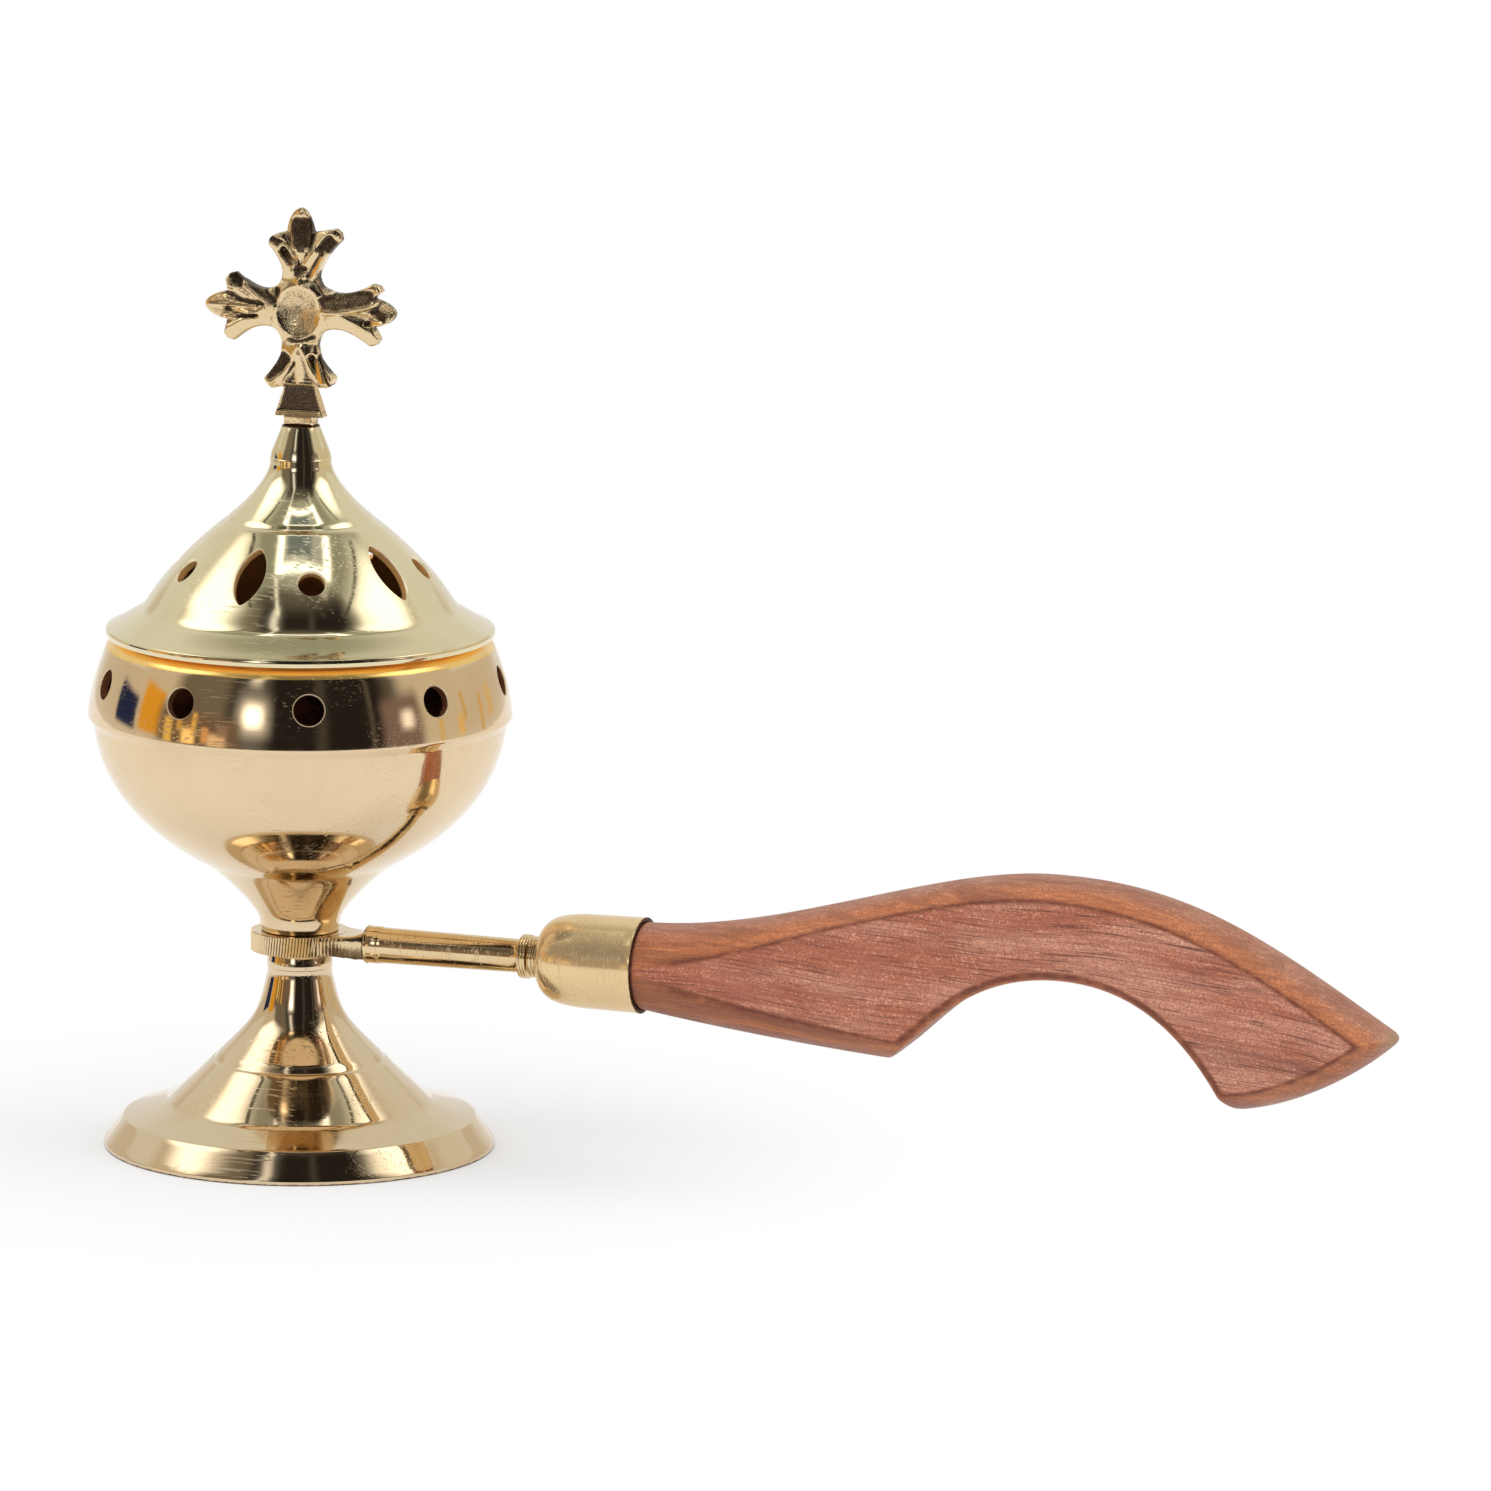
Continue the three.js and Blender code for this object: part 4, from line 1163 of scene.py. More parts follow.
@dataclass
class Bowl(Piece):
    """Turned bowl with a row of vents, and the loose pan inside it."""

    base: float = 46.3
    base_radius: float = 8.1
    collar: Pair = (8.6, 2.7)
    waist: Pair = (20.0, 14.8)
    belly: Pair = (43.55, 44.7)
    shoulder: Pair = (44.75, 46.3)
    lip: Pair = (40.95, 61.0)
    mouth: Pair = (38.8, 63.1)
    wall: float = 2.0
    stud_top: float = 11.0
    stud_bore: float = 3.1
    floor: float = 14.0
    floor_radius: float = 13.0
    vents: int = 10
    vent_radius: float = 3.25
    vent_height: float = 55.0
    vent_lag: float = 7.2
    vent_drift: float = 4.6
    vent_drift_lag: float = 33.0
    pan_floor: float = 19.6
    pan_rim: float = 27.6
    pan_wall: float = 1.0
    pan_holes: int = 8
    pan_ring: float = 14.0
    pan_hole_radius: float = 1.5

    def curves(self) -> tuple[Profile, Profile, Profile]:
        """Stem, belly and shoulder with its lip, above the bowl's base."""
        stem = bend(self.collar, self.waist, 80, 31, 0.16, 0.2, 14)
        belly = bend(self.waist, self.belly, 28, 84, 0.4, 0.35, 46)
        shoulder = bend(self.shoulder, self.lip, 94.5, 112.5, 0.35, 0.35, 20)
        return stem, belly, shoulder + bend(self.lip, self.mouth, 120, 146, 0.3, 0.3, 8)[1:]

    def inside(self, gap: float = 0) -> Profile:
        """Inside of the bowl's wall, less a gap."""
        belly = self.curves()[1]
        mouth = (self.mouth[0] + 0.9, self.mouth[1])
        shoulder = bend(self.shoulder, mouth, 87.5, 122, 0.3, 0.2, 20)
        return offset(belly, -self.wall - gap) + offset(shoulder, -self.wall - gap)

    def build(self) -> Thing:
        """Turns the bowl, drills its vents and paints its inside."""
        stem, belly, shoulder = self.curves()
        inside = self.inside()
        top = self.mouth[1]
        walls = [p for p in inside if self.floor + 1 < p.y < top - 0.6]
        profile = [
            Vector((0, self.stud_top)),
            Vector((self.stud_bore, self.stud_top)),
            Vector((self.stud_bore, 0)),
            Vector((self.base_radius, 0)),
            Vector((self.base_radius + 0.25, 1.1)),
            *stem,
            *belly[1:],
            *shoulder,
            Vector((inside[-1].x, top)),
            *walls[::-3],
            Vector((self.floor_radius, self.floor)),
            Vector((0, self.floor)),
        ]
        bowl = self.bench.turn("turned_bowl", raised(profile, self.base), Spindle.VESSEL, 240)
        self.bench.round_edges(bowl, 0.2)
        finishes = self.mix(
            TurnedBrass("bowl_brass", seams=((self.base, 0.25),)),
            BurntBrass("bowl_inside", colour=(0.34, 0.13, 0.06), low=0.4, metallic=0.7),
            cut_edge("vent_edge", (0.74, 0.60, 0.38)),
            # Painted reflection: the band above the lip is painted orange-gold, for the gold glow
            # in the gap under the lid's brim.
            TurnedBrass("lip_brass", colour=(0.92, 0.60, 0.18), roughness=0.14, metallic=0.8),
        )
        self.bench.fill_slots(bowl, finishes)
        self.drill_vents(bowl, raised(shoulder, self.base), finishes)
        self.bench.smooth(bowl)
        axis = self.bench.layout.vessel
        # Painted reflection: the faces above the lip take the orange-gold lip finish.
        lip = mm(self.base + self.lip[1])
        self.bench.paint_faces(bowl, 3, lambda at, normal: at.z > lip and normal.z < 0.95)
        self.bench.paint_faces(bowl, 1, lambda at, normal: self.is_inside(at - axis, normal))
        return self.dress(bowl, "bowl", "stand", "turned_brass")

    def is_inside(self, at: Vector, normal: Vector) -> bool:
        """Whether a face belongs to the bowl's inner wall or floor."""
        if at.z < mm(self.base + self.floor - 0.5):
            return False
        reach = math.hypot(at.x, at.y)
        radial = (normal.x * at.x + normal.y * at.y) / max(reach, 1e-6)
        return radial < -0.05 or (normal.z > 0.9 and reach < mm(self.floor_radius + 1))

    def drill_vents(
        self,
        bowl: Thing,
        curve: Sequence[Vector],
        finishes: Sequence[Coating],
    ) -> None:
        """Drills the row of vents, whose pitch wanders a little.

        Args:
            bowl: The turned bowl, with its finishes.
            curve: Outline of the wall that the vents go through.
            finishes: Materials of the outside, of a vent's wall and of its edge.
        """
        piercing = Piercing(self.bench, finishes, edge=0.4, sink=0.4)
        places = []
        for i in range(self.vents):
            pitch = i * 360 / self.vents
            drift = self.vent_drift * math.sin(math.radians(pitch - self.vent_drift_lag))
            bearing = self.bench.layout.front + self.vent_lag + pitch + drift
            places.append(piercing.place(curve, self.base + self.vent_height, bearing))
        self.bench.cut(bowl, self.bench.copies(piercing.drill(self.vent_radius), places))

    def build_pan(self) -> Thing:
        """Spins the loose pan with its rolled rim and punches its holes."""
        wall = self.inside(0.3)
        outer = [p for p in wall if self.pan_floor + 0.5 < p.y < self.pan_rim - 0.4]
        corner = radius_at(wall, self.pan_floor) - self.pan_wall
        rim = radius_at(wall, self.pan_rim)
        edge = Vector((rim - 0.1, self.pan_rim - 0.2))
        outside = [Vector((corner, self.pan_floor)), *outer, edge]
        skin = offset(outside, -self.pan_wall)
        profile = [
            Vector((0, self.pan_floor)),
            *outside,
            Vector((rim - 0.5, self.pan_rim)),
            Vector((skin[-1].x, self.pan_rim - 0.3)),
            *skin[1:-1][::-1],
            Vector((corner - self.pan_wall, self.pan_floor + self.pan_wall)),
            Vector((0, self.pan_floor + self.pan_wall)),
        ]
        pan = self.bench.turn("spun_pan", raised(profile, self.base), Spindle.VESSEL, 128)
        self.bench.round_edges(pan, 0.3)
        finishes = self.mix(BurntBrass("pan_brass", colour=(0.50, 0.30, 0.12), low=0.5)) * 3
        self.bench.fill_slots(pan, finishes)
        piercing = Piercing(self.bench, finishes, edge=0.25, sink=0.18)
        level = mm(self.base + self.pan_floor + self.pan_wall)
        centre = Matrix.Translation((mm(self.bench.layout.vessel_x), 0, level))
        places = [centre]
        for i in range(self.pan_holes):
            turn = Matrix.Rotation(i * math.tau / self.pan_holes, 4, "Z")
            places.append(centre @ turn @ Matrix.Translation((mm(self.pan_ring), 0, 0)))
        self.bench.cut(pan, self.bench.copies(piercing.drill(self.pan_hole_radius), places))
        self.bench.smooth(pan)
        return self.dress(pan, "charcoal_pan", "pan", "pan_brass")


@dataclass
class Lid(Piece):
    """Turned lid with round and leaf-shaped piercings."""

    base: float = 109.7
    spigot_depth: float = 4.0
    spigot_wall: float = 1.5
    spigot_radius: float = 37.4
    brim_radius: float = 41.0
    brim_thickness: float = 1.6
    cone_base: Pair = (34.3, 5.2)
    groove: Pair = (15.75, 24.8)
    groove_depth: float = 0.4
    neck: Pair = (6.5, 36.6)
    neck_land: float = 1.1
    top: Pair = (3.9, 44.6)
    wall: float = 1.8
    hollow: float = 30.5
    peg_bore: float = 1.8
    peg_depth: float = 6.5
    rounds: tuple[float, ...] = (7.4, 79.4, 151.4, 223.4, 295.4)
    leaves: tuple[float, ...] = (49.3, 121.3, 193.3, 265.3, 337.3)
    round_radius: float = 2.85
    round_rise: float = 15.3
    leaf_length: float = 14.3
    leaf_width: float = 6.4
    leaf_rise: float = 16.3

    def curves(self) -> tuple[Profile, Profile]:
        """Cone and flare of the outside, above the lid's base."""
        cone = bend(self.cone_base, self.groove, 157, 141, 0.1, 0.76, 36)
        flare = bend(self.groove, self.neck, 142, 92, 0.46, 0.17, 24)
        return cone, flare

    def profile(self) -> Profile:
        """Outline of the lid's section, from the hollow's top round the brim to the point."""
        cone, flare = self.curves()
        groove_r, groove_z = self.groove
        inner = offset(cone, -self.wall) + offset(flare, -self.wall)[1:]
        inner = [p for p in inner if self.brim_thickness < p.y < self.hollow - 1]
        brim_top = (self.brim_radius - 0.2, self.brim_thickness)
        slope = bend(brim_top, self.cone_base, 158, 150, 0.3, 0.3, 6)
        return [
            Vector((0, self.hollow)),
            Vector((inner[-1].x - 0.8, self.hollow)),
            *inner[::-3],
            Vector((self.spigot_radius - self.spigot_wall, 0)),
            Vector((self.spigot_radius - self.spigot_wall, -self.spigot_depth)),
            Vector((self.spigot_radius, -self.spigot_depth)),
            Vector((self.spigot_radius, 0)),
            Vector((self.brim_radius - 0.2, 0)),
            Vector((self.brim_radius, 0.5)),
            Vector((self.brim_radius, self.brim_thickness - 0.4)),
            *slope,
            *cone[1:-1],
            Vector((groove_r + 0.38, groove_z - 0.4)),
            Vector((groove_r - 0.05, groove_z - 0.28)),
            Vector((groove_r - self.groove_depth, groove_z)),
            *flare[1:],
            Vector((self.neck[0], self.neck[1] + self.neck_land)),
            Vector((self.neck[0] - 0.14, self.neck[1] + self.neck_land + 0.16)),
            *straight((6.2, 38.9), self.top, 4),
            Vector((self.peg_bore, self.top[1])),
            Vector((self.peg_bore, self.top[1] - self.peg_depth)),
            Vector((0, self.top[1] - self.peg_depth)),
        ]

    def build(self) -> Thing:
        """Turns the lid, pierces it and paints its inside."""
        lid = self.bench.turn("turned_lid", raised(self.profile(), self.base), Spindle.VESSEL, 240)
        self.bench.round_edges(lid, 0.18)
        # The lid's brass is paler and greener than the bowl's: partly lacquer, partly a painted
        # reflection of the greenish ceiling.
        brass = TurnedBrass(
            "lid_brass",
            colour=(0.80, 0.70, 0.46),
            roughness=0.06,
            depth=0.005,
            seams=((self.base + self.top[1], 0.4),),
        )
        # The lid's hollow and the walls of its piercings are painted a light orange: heat browning,
        # lightened as painted light for the dim inside of the closed lid.
        burnt_and_lit = BurntBrass(
            "lid_inside", colour=(0.95, 0.56, 0.20), low=0.62, roughness=0.38, metallic=0.6
        )
        # Painted reflection: the brim's underside is painted orange-gold, for the gold glow in the
        # gap between brim and bowl.
        under = TurnedBrass("brim_underside", colour=(0.95, 0.60, 0.17), roughness=0.12)
        # The piercings' broken edges are painted paler than the lid's brass: scratched metal, and a
        # painted highlight along each rim.
        finishes = self.mix(brass, burnt_and_lit, cut_edge("piercing_edge", (0.95, 0.86, 0.62)), under)
        self.bench.fill_slots(lid, finishes)
        self.pierce(lid, finishes)
        self.bench.smooth(lid)
        axis = self.bench.layout.vessel
        self.bench.paint_faces(lid, 3, self.is_seat)
        self.bench.paint_faces(lid, 1, lambda at, normal: self.is_inside(at - axis, normal))
        return self.dress(lid, "lid", "lid", "turned_brass")

    def is_seat(self, at: Vector, normal: Vector) -> bool:
        """Whether a face belongs to the brim's underside."""
        return normal.z < -0.9 and abs(at.z - mm(self.base)) < mm(0.2)

    def is_inside(self, at: Vector, normal: Vector) -> bool:
        """Whether a face belongs to the lid's hollow."""
        if at.z > mm(self.base + self.hollow + 0.4):
            return False
        radial = (normal.x * at.x + normal.y * at.y) / max(math.hypot(at.x, at.y), 1e-6)
        return radial < -0.1 or (normal.z < -0.9 and at.z > mm(self.base + 10))

    def pierce(self, lid: Thing, finishes: Sequence[Coating]) -> None:
        """Cuts the round holes and the leaves."""
        cone = raised(self.curves()[0], self.base)
        piercing = Piercing(self.bench, finishes)
        front = self.bench.layout.front
        height = self.base + self.round_rise
        rounds = [piercing.place(cone, height, front + lag) for lag in self.rounds]
        height = self.base + self.leaf_rise
        leaves = [piercing.place(cone, height, front + lag) for lag in self.leaves]
        self.bench.cut(lid, self.bench.copies(piercing.drill(self.round_radius), rounds))
        leaf = piercing.leaf(self.leaf_length, self.leaf_width)
        self.bench.cut(lid, self.bench.copies(leaf, leaves))


@dataclass(frozen=True)
class Arm:
    """One arm of the cross.

    Attributes:
        turn: Direction of the arm, in degrees from +X.
        left: Reach and spread of the side lobe to the left of that direction.
        right: Reach and spread of the side lobe to the right.
    """

    turn: float
    left: Pair
    right: Pair


@dataclass(frozen=True)
class Ridge:
    """A crest of the casting's relief that falls off to its sides.

    Attributes:
        start: Where it begins, along and across its arm, in millimetres.
        end: Where it ends.
        low: Half thickness of the casting at its start.
        high: Half thickness at its end.
        falls: Fall per millimetre to its left and to its right.
    """

    start: Pair
    end: Pair
    low: float
    high: float
    falls: Pair

    def height(self, along: float, across: float) -> float:
        """Half thickness that the crest gives at a place, in millimetres."""
        run, shift = self.end[0] - self.start[0], self.end[1] - self.start[1]
        x, y = along - self.start[0], across - self.start[1]
        share = min(max((x * run + y * shift) / (run * run + shift * shift), 0.0), 1.0)
        away = math.hypot(x - run * share, y - shift * share)
        side = 0 if run * y - shift * x > 0 else 1
        return self.low + (self.high - self.low) * share - self.falls[side] * away


@dataclass(frozen=True)
class Facet:
    """A patch of the casting that leans to one side.

    Attributes:
        centre: Its centre, right of and above the cross's centre, in millimetres.
        half: Half length and half width.
        turn: Direction of its length, in degrees from +X.
        slope: Rise per millimetre to the right and upwards.
        level: Half thickness of the casting at its centre.
        darkening: How much darker its skin is painted, from 0 to 1; on the facets that lean up this
            is painted reflection of the dark room.
    """

    centre: Pair
    half: Pair
    turn: float
    slope: Pair
    level: float = 1.3
    darkening: float = 0.3

    def share(self, x: float, y: float) -> float:
        """How far a place lies inside the patch, from 0 to 1."""
        cosine, sine = math.cos(math.radians(self.turn)), math.sin(math.radians(self.turn))
        right, up = x - self.centre[0], y - self.centre[1]
        along = (right * cosine + up * sine) / self.half[0]
        across = (up * cosine - right * sine) / self.half[1]
        return smoothstep(1.15, 0.85, (along**4 + across**4) ** 0.25)

    def height(self, x: float, y: float) -> float:
        """Half thickness of the patch at a place."""
        rise = (x - self.centre[0]) * self.slope[0] + (y - self.centre[1]) * self.slope[1]
        return max(self.level + rise, 0.35)


DARK_LEAN = (0.0, -0.26)
GOLD_LEAN = (0.46, -0.16)


@dataclass
class CrossFinial(Piece):
    """Cast cross with four arms of three petals, a dished centre and a splayed foot."""

    base: float = 154.3
    rise: float = 24.6
    reach: float = 21.3
    crotch: float = 4.9
    lobe_round: float = 1.5
    notch: Pair = (16.3, 2.9)
    edge: float = 0.75
    crest: float = 2.1
    dish_radius: float = 5.0
    dish_floor: float = 0.6
    dish_rim: float = 2.0
    dish_drop: float = 6.3
    panel: Pair = (16.2, 21.6)
    panel_width: Pair = (3.2, 4.6)
    panel_floor: float = 0.75
    ledge: float = 1.6
    foot_top: Pair = (2.9, 14.9)
    foot_bottom: Pair = (5.5, 22.7)
    block: Pair = (3.3, 24.6)
    block_half: float = 1.9
    voxel: float = 0.2
    fine_grain: float = 0.04
    coarse_grain: float = 0.05
    # Darkening painted into the hollow attribute: dull skin everywhere, painted shade and dirt in
    # recesses, a darker dish and plate sides, and painted shade in the sunk panel.
    skin_dirt: float = 0.06
    sunk_shade_and_dirt: float = 2.2
    dish_darkening: float = 0.24
    side_darkening: float = 0.5
    panel_darkening_start: float = 15.5
    arms: tuple[Arm, ...] = (
        Arm(0, (17.6, 6.1), (17.1, 7.1)),
        Arm(90, (14.8, 7.1), (16.5, 9.4)),
        Arm(180, (16.2, 7.4), (15.8, 7.1)),
        Arm(270, (15.7, 7.6), (16.3, 7.7)),
    )
    facets: tuple[Facet, ...] = (
        Facet((0.5, 15.7), (3.6, 2.5), 90, DARK_LEAN, 1.35, 0.5),
        Facet((0.6, 11.6), (1.9, 0.8), 90, (0, 0.1), 1.7, 0),
        Facet((6.4, 13.4), (2.3, 1.8), 45, DARK_LEAN, 1.35, 0.45),
        Facet((-4.7, 13.8), (2.3, 1.0), -20, DARK_LEAN, 1.3, 0.35),
        Facet((-1.9, 10.1), (3.4, 0.9), -52, (0.35, -0.30), 1.5, 0.35),
        Facet((0.5, 7.9), (1.6, 1.3), 0, DARK_LEAN, 1.5, 0.35),
        Facet((4.1, 9.6), (3.6, 0.9), 58, GOLD_LEAN, 1.5, 0),
        Facet((5.9, 5.0), (2.4, 1.0), 125, DARK_LEAN, 1.6, 0.35),
        Facet((10.8, 2.0), (6.5, 2.2), 10, (0.03, -0.26), 1.7, 0.35),
        Facet((18.2, -0.6), (2.4, 1.1), -12, DARK_LEAN, 1.25, 0.38),
        Facet((16.9, -2.2), (2.4, 0.6), 0, GOLD_LEAN, 1.3, 0),
        Facet((-5.6, 2.4), (1.2, 2.2), -10, (-0.2, -0.35), 1.8, 0.35),
        Facet((-9.2, 3.6), (5.4, 1.3), -36, (-0.2, -0.42), 1.7, 0.35),
        Facet((-14.2, 5.4), (1.7, 1.6), 0, (-0.25, -0.45), 1.35, 0.4),
        Facet((-12.4, 1.2), (4.6, 0.55), -6, (-0.1, -0.40), 1.5, 0.42),
        Facet((-13.6, -0.9), (3.4, 0.45), -4, GOLD_LEAN, 1.5, 0),
        Facet((-13.2, -2.2), (4.0, 0.4), 6, (-0.1, -0.4), 1.4, 0.38),
        Facet((0.6, -6.3), (3.4, 0.7), 8, (0, -0.4), 1.7, 0.4),
        Facet((-5.0, -12.7), (3.8, 1.7), 50, (0.05, -0.30), 1.5, 0.36),
        Facet((6.0, -12.5), (3.3, 0.7), -60, (-0.05, -0.35), 1.5, 0.42),
        Facet((4.2, -12.9), (3.5, 0.9), -62, GOLD_LEAN, 1.5, 0),
        Facet((-2.3, -13.6), (2.6, 0.3), 62, DARK_LEAN, 1.4, 0.4),
    )

    def half_arm(self, lobe: Pair) -> Profile:
        """Outline of one half of an arm, from the crotch over the side lobe to the tip."""
        reach, spread = lobe
        side = [
            Vector((self.crotch, self.crotch)),
            Vector((self.crotch + 2.3, self.crotch - 1.7)),
            Vector(((self.crotch + reach) / 2, spread / 2)),
            Vector((reach - self.lobe_round, spread)),
        ]
        tip = [
            Vector(self.notch),
            Vector((self.notch[0] + 2.2, self.notch[1])),
            Vector((self.reach, self.notch[1] / 2)),
            Vector((self.reach, 0)),
        ]
        points = []
        for corners, steps in ((side, 12), (tip, 8)):
            for i in range(steps + 1):
                t = i / steps
                weights = ((1 - t) ** 3, 3 * t * (1 - t) ** 2, 3 * t * t * (1 - t), t**3)
                points.append(sum((c * w for c, w in zip(corners, weights)), Vector((0, 0))))
            if corners is side:
                points.append(Vector((reach, spread - self.lobe_round / 4)))
                points.append(Vector((reach + self.lobe_round / 2, spread - self.lobe_round)))
        return points

    def outline(self) -> Profile:
        """Outline of the four arms round the centre."""
        points = []
        for arm in self.arms:
            lower = [Vector((p.x, -p.y)) for p in self.half_arm(arm.right)]
            upper = self.half_arm(arm.left)[::-1][1:-1]
            turn = Matrix.Rotation(math.radians(arm.turn), 2)
            points += [turn @ p for p in lower + upper]
        return points

    def plate(self, name: str, outline: Sequence[Vector]) -> Thing:
        """A flat plate of an outline round the cross's centre, as thick as the casting's edge."""
        centre = Vector((mm(self.bench.layout.vessel_x), mm(self.edge), mm(self.base + self.rise)))
        points = [centre + Vector((mm(p.x), 0, mm(p.y))) for p in outline]
        plate = self.bench.trace(name, points)
        self.bench.edit(plate)
        bpy.ops.mesh.edge_face_add()
        through = (0, -mm(2 * self.edge), 0)
        bpy.ops.mesh.extrude_region_move(TRANSFORM_OT_translate={"value": through})
        bpy.ops.mesh.select_all(action="SELECT")
        bpy.ops.mesh.normals_make_consistent(inside=False)
        self.bench.clear()
        return plate

    def ridges(self, arm: Arm) -> list[Ridge]:
        """Crests of an arm: its stem, its middle petal and its two side petals."""
        crests = [
            Ridge((self.dish_radius, 0), (10.5, 0), self.crest, 1.7, (0.30, 0.30)),
            Ridge((9.5, 0), (self.reach - 0.8, 0), self.crest, 0.9, (0.55, 0.55)),
        ]
        for (reach, spread), side in ((arm.left, 1), (arm.right, -1)):
            falls = (0.30, 0.6) if side == 1 else (0.6, 0.30)
            tip = (reach - 0.5, side * spread * 0.62)
            crests.append(Ridge((8, side * 0.3), tip, 2.1, 1.9, falls))
        return crests

    def relief(self) -> Callable[[float, float], float]:
        """Prepares the half thickness of the casting at any place in its plane."""
        parts = []
        for arm in self.arms:
            turn = math.radians(arm.turn)
            parts.append((math.cos(turn), math.sin(turn), self.ridges(arm)))

        def height(x: float, y: float) -> float:
            """Half thickness at a place, in millimetres."""
            total = self.edge
            for cosine, sine, crests in parts:
                along, across = x * cosine + y * sine, y * cosine - x * sine
                if along > 3 and abs(across) < 11:
                    total = max(total, *(crest.height(along, across) for crest in crests))
            away = math.hypot(x, y * (self.dish_radius / self.dish_drop if y < 0 else 1))
            if away < self.dish_radius:
                deep = self.dish_rim - self.dish_floor
                return self.dish_floor + deep * (away / self.dish_radius) ** 1.8
            total = max(total, self.dish_rim - 0.5 * (away - self.dish_radius))
            for facet in self.facets:
                inside = facet.share(x, y)
                if inside:
                    total += (facet.height(x, y) - total) * inside
            if -y > self.panel[0] - 0.4 and abs(x) < 6.2:
                total = self.foot_height(abs(x), -y, total)
            return total

        return height

    def foot_height(self, across: float, down: float, above: float) -> float:
        """Half thickness of the splayed foot.

        Args:
            across: Distance from its middle line, in millimetres.
            down: Distance below the cross's centre.
            above: Half thickness that the arm above gives there.

        Returns:
            The half thickness, sunk in the panel.
        """
        if down > self.foot_bottom[1] - 0.1:
            return self.block_half
        top, bottom = self.panel
        share = (down - top) / (bottom - top)
        half = self.panel_width[0] + (self.panel_width[1] - self.panel_width[0]) * share
        rim = smoothstep(-0.25, 0.25, across - half)
        frame_height = max(above, 1.5) if down < bottom else self.ledge
        sunk = smoothstep(-0.3, 0.1, down - top) * smoothstep(0.25, -0.25, down - bottom)
        sunk *= 1 - rim
        return frame_height + (self.panel_floor - frame_height) * sunk

    def build(self) -> Thing:
        """Joins the plates into one skin and raises the relief on it."""
        top, bottom = self.foot_top, self.foot_bottom
        splay = [(-bottom[0], -bottom[1]), (bottom[0], -bottom[1])]
        splay += [(top[0], -top[1]), (-top[0], -top[1])]
        block = [(-self.block[0], -self.block[1]), (self.block[0], -self.block[1])]
        block += [(self.block[0], -bottom[1] + 1), (-self.block[0], -bottom[1] + 1)]
        cross = self.plate("cast_cross", self.outline())
        foot = self.plate("cross_foot", [Vector(p) for p in splay])
        stub = self.plate("cross_block", [Vector(p) for p in block])
        cross = self.bench.join(cross, foot, stub)
        self.bench.modify(cross, "REMESH", mode="VOXEL", voxel_size=mm(self.voxel))
        self.raise_relief(cross)
        self.bench.modify(cross, "SMOOTH", factor=0.5, iterations=2)
        self.bench.smooth(cross, 60)
        self.bench.fill_slots(cross, self.mix(CastBrass("cross_brass")))
        return self.dress(cross, "cross_finial", "lid", "cast_brass")

    def raise_relief(self, cross: Thing) -> None:
        """Scales each point's depth to the casting's height there and notes in the hollow attribute
        how much darker it is painted: painted reflection on facets that lean up, painted shade and
        dirt in recesses, painted shade in the sunk panel, and a darker dish and plate sides.
        """
        centre = Vector((mm(self.bench.layout.vessel_x), 0, mm(self.base + self.rise)))
        hollow = cross.data.attributes.new("hollow", "FLOAT", "POINT")
        height = self.relief()
        for i, vertex in enumerate(cross.data.vertices):
            local = (vertex.co - centre) * 1000
            x, z = local.x, local.z
            here = height(x, z)
            fine, coarse = noise.noise(vertex.co * 900), noise.noise(vertex.co * 300)
            grain = fine * self.fine_grain + coarse * self.coarse_grain
            vertex.co.y = mm(local.y / self.edge * (here + grain))
            # Painted shade and dirt: points lower than their neighbours are darkened.
            around = height(x + 1, z) + height(x - 1, z) + height(x, z + 1) + height(x, z - 1)
            sunk = around / 4 - here
            # Painted reflection: facets that lean up are painted darker, as they mirror the dark
            # room.
            darkening = 2 * max(facet.share(x, z) * facet.darkening for facet in self.facets)
            if math.hypot(x, z) < self.dish_radius:
                darkening = self.dish_darkening
            if abs(local.y) < 0.8 * self.edge:
                darkening += self.side_darkening
            # Painted shade: the sunk panel is painted dark.
            panel = 0
            if -z > self.panel_darkening_start:
                panel = smoothstep(self.panel_floor + 0.3, self.panel_floor, here)
            total = self.skin_dirt + sunk * self.sunk_shade_and_dirt + darkening
            hollow.data[i].value = min(max(total, panel, 0), 1)


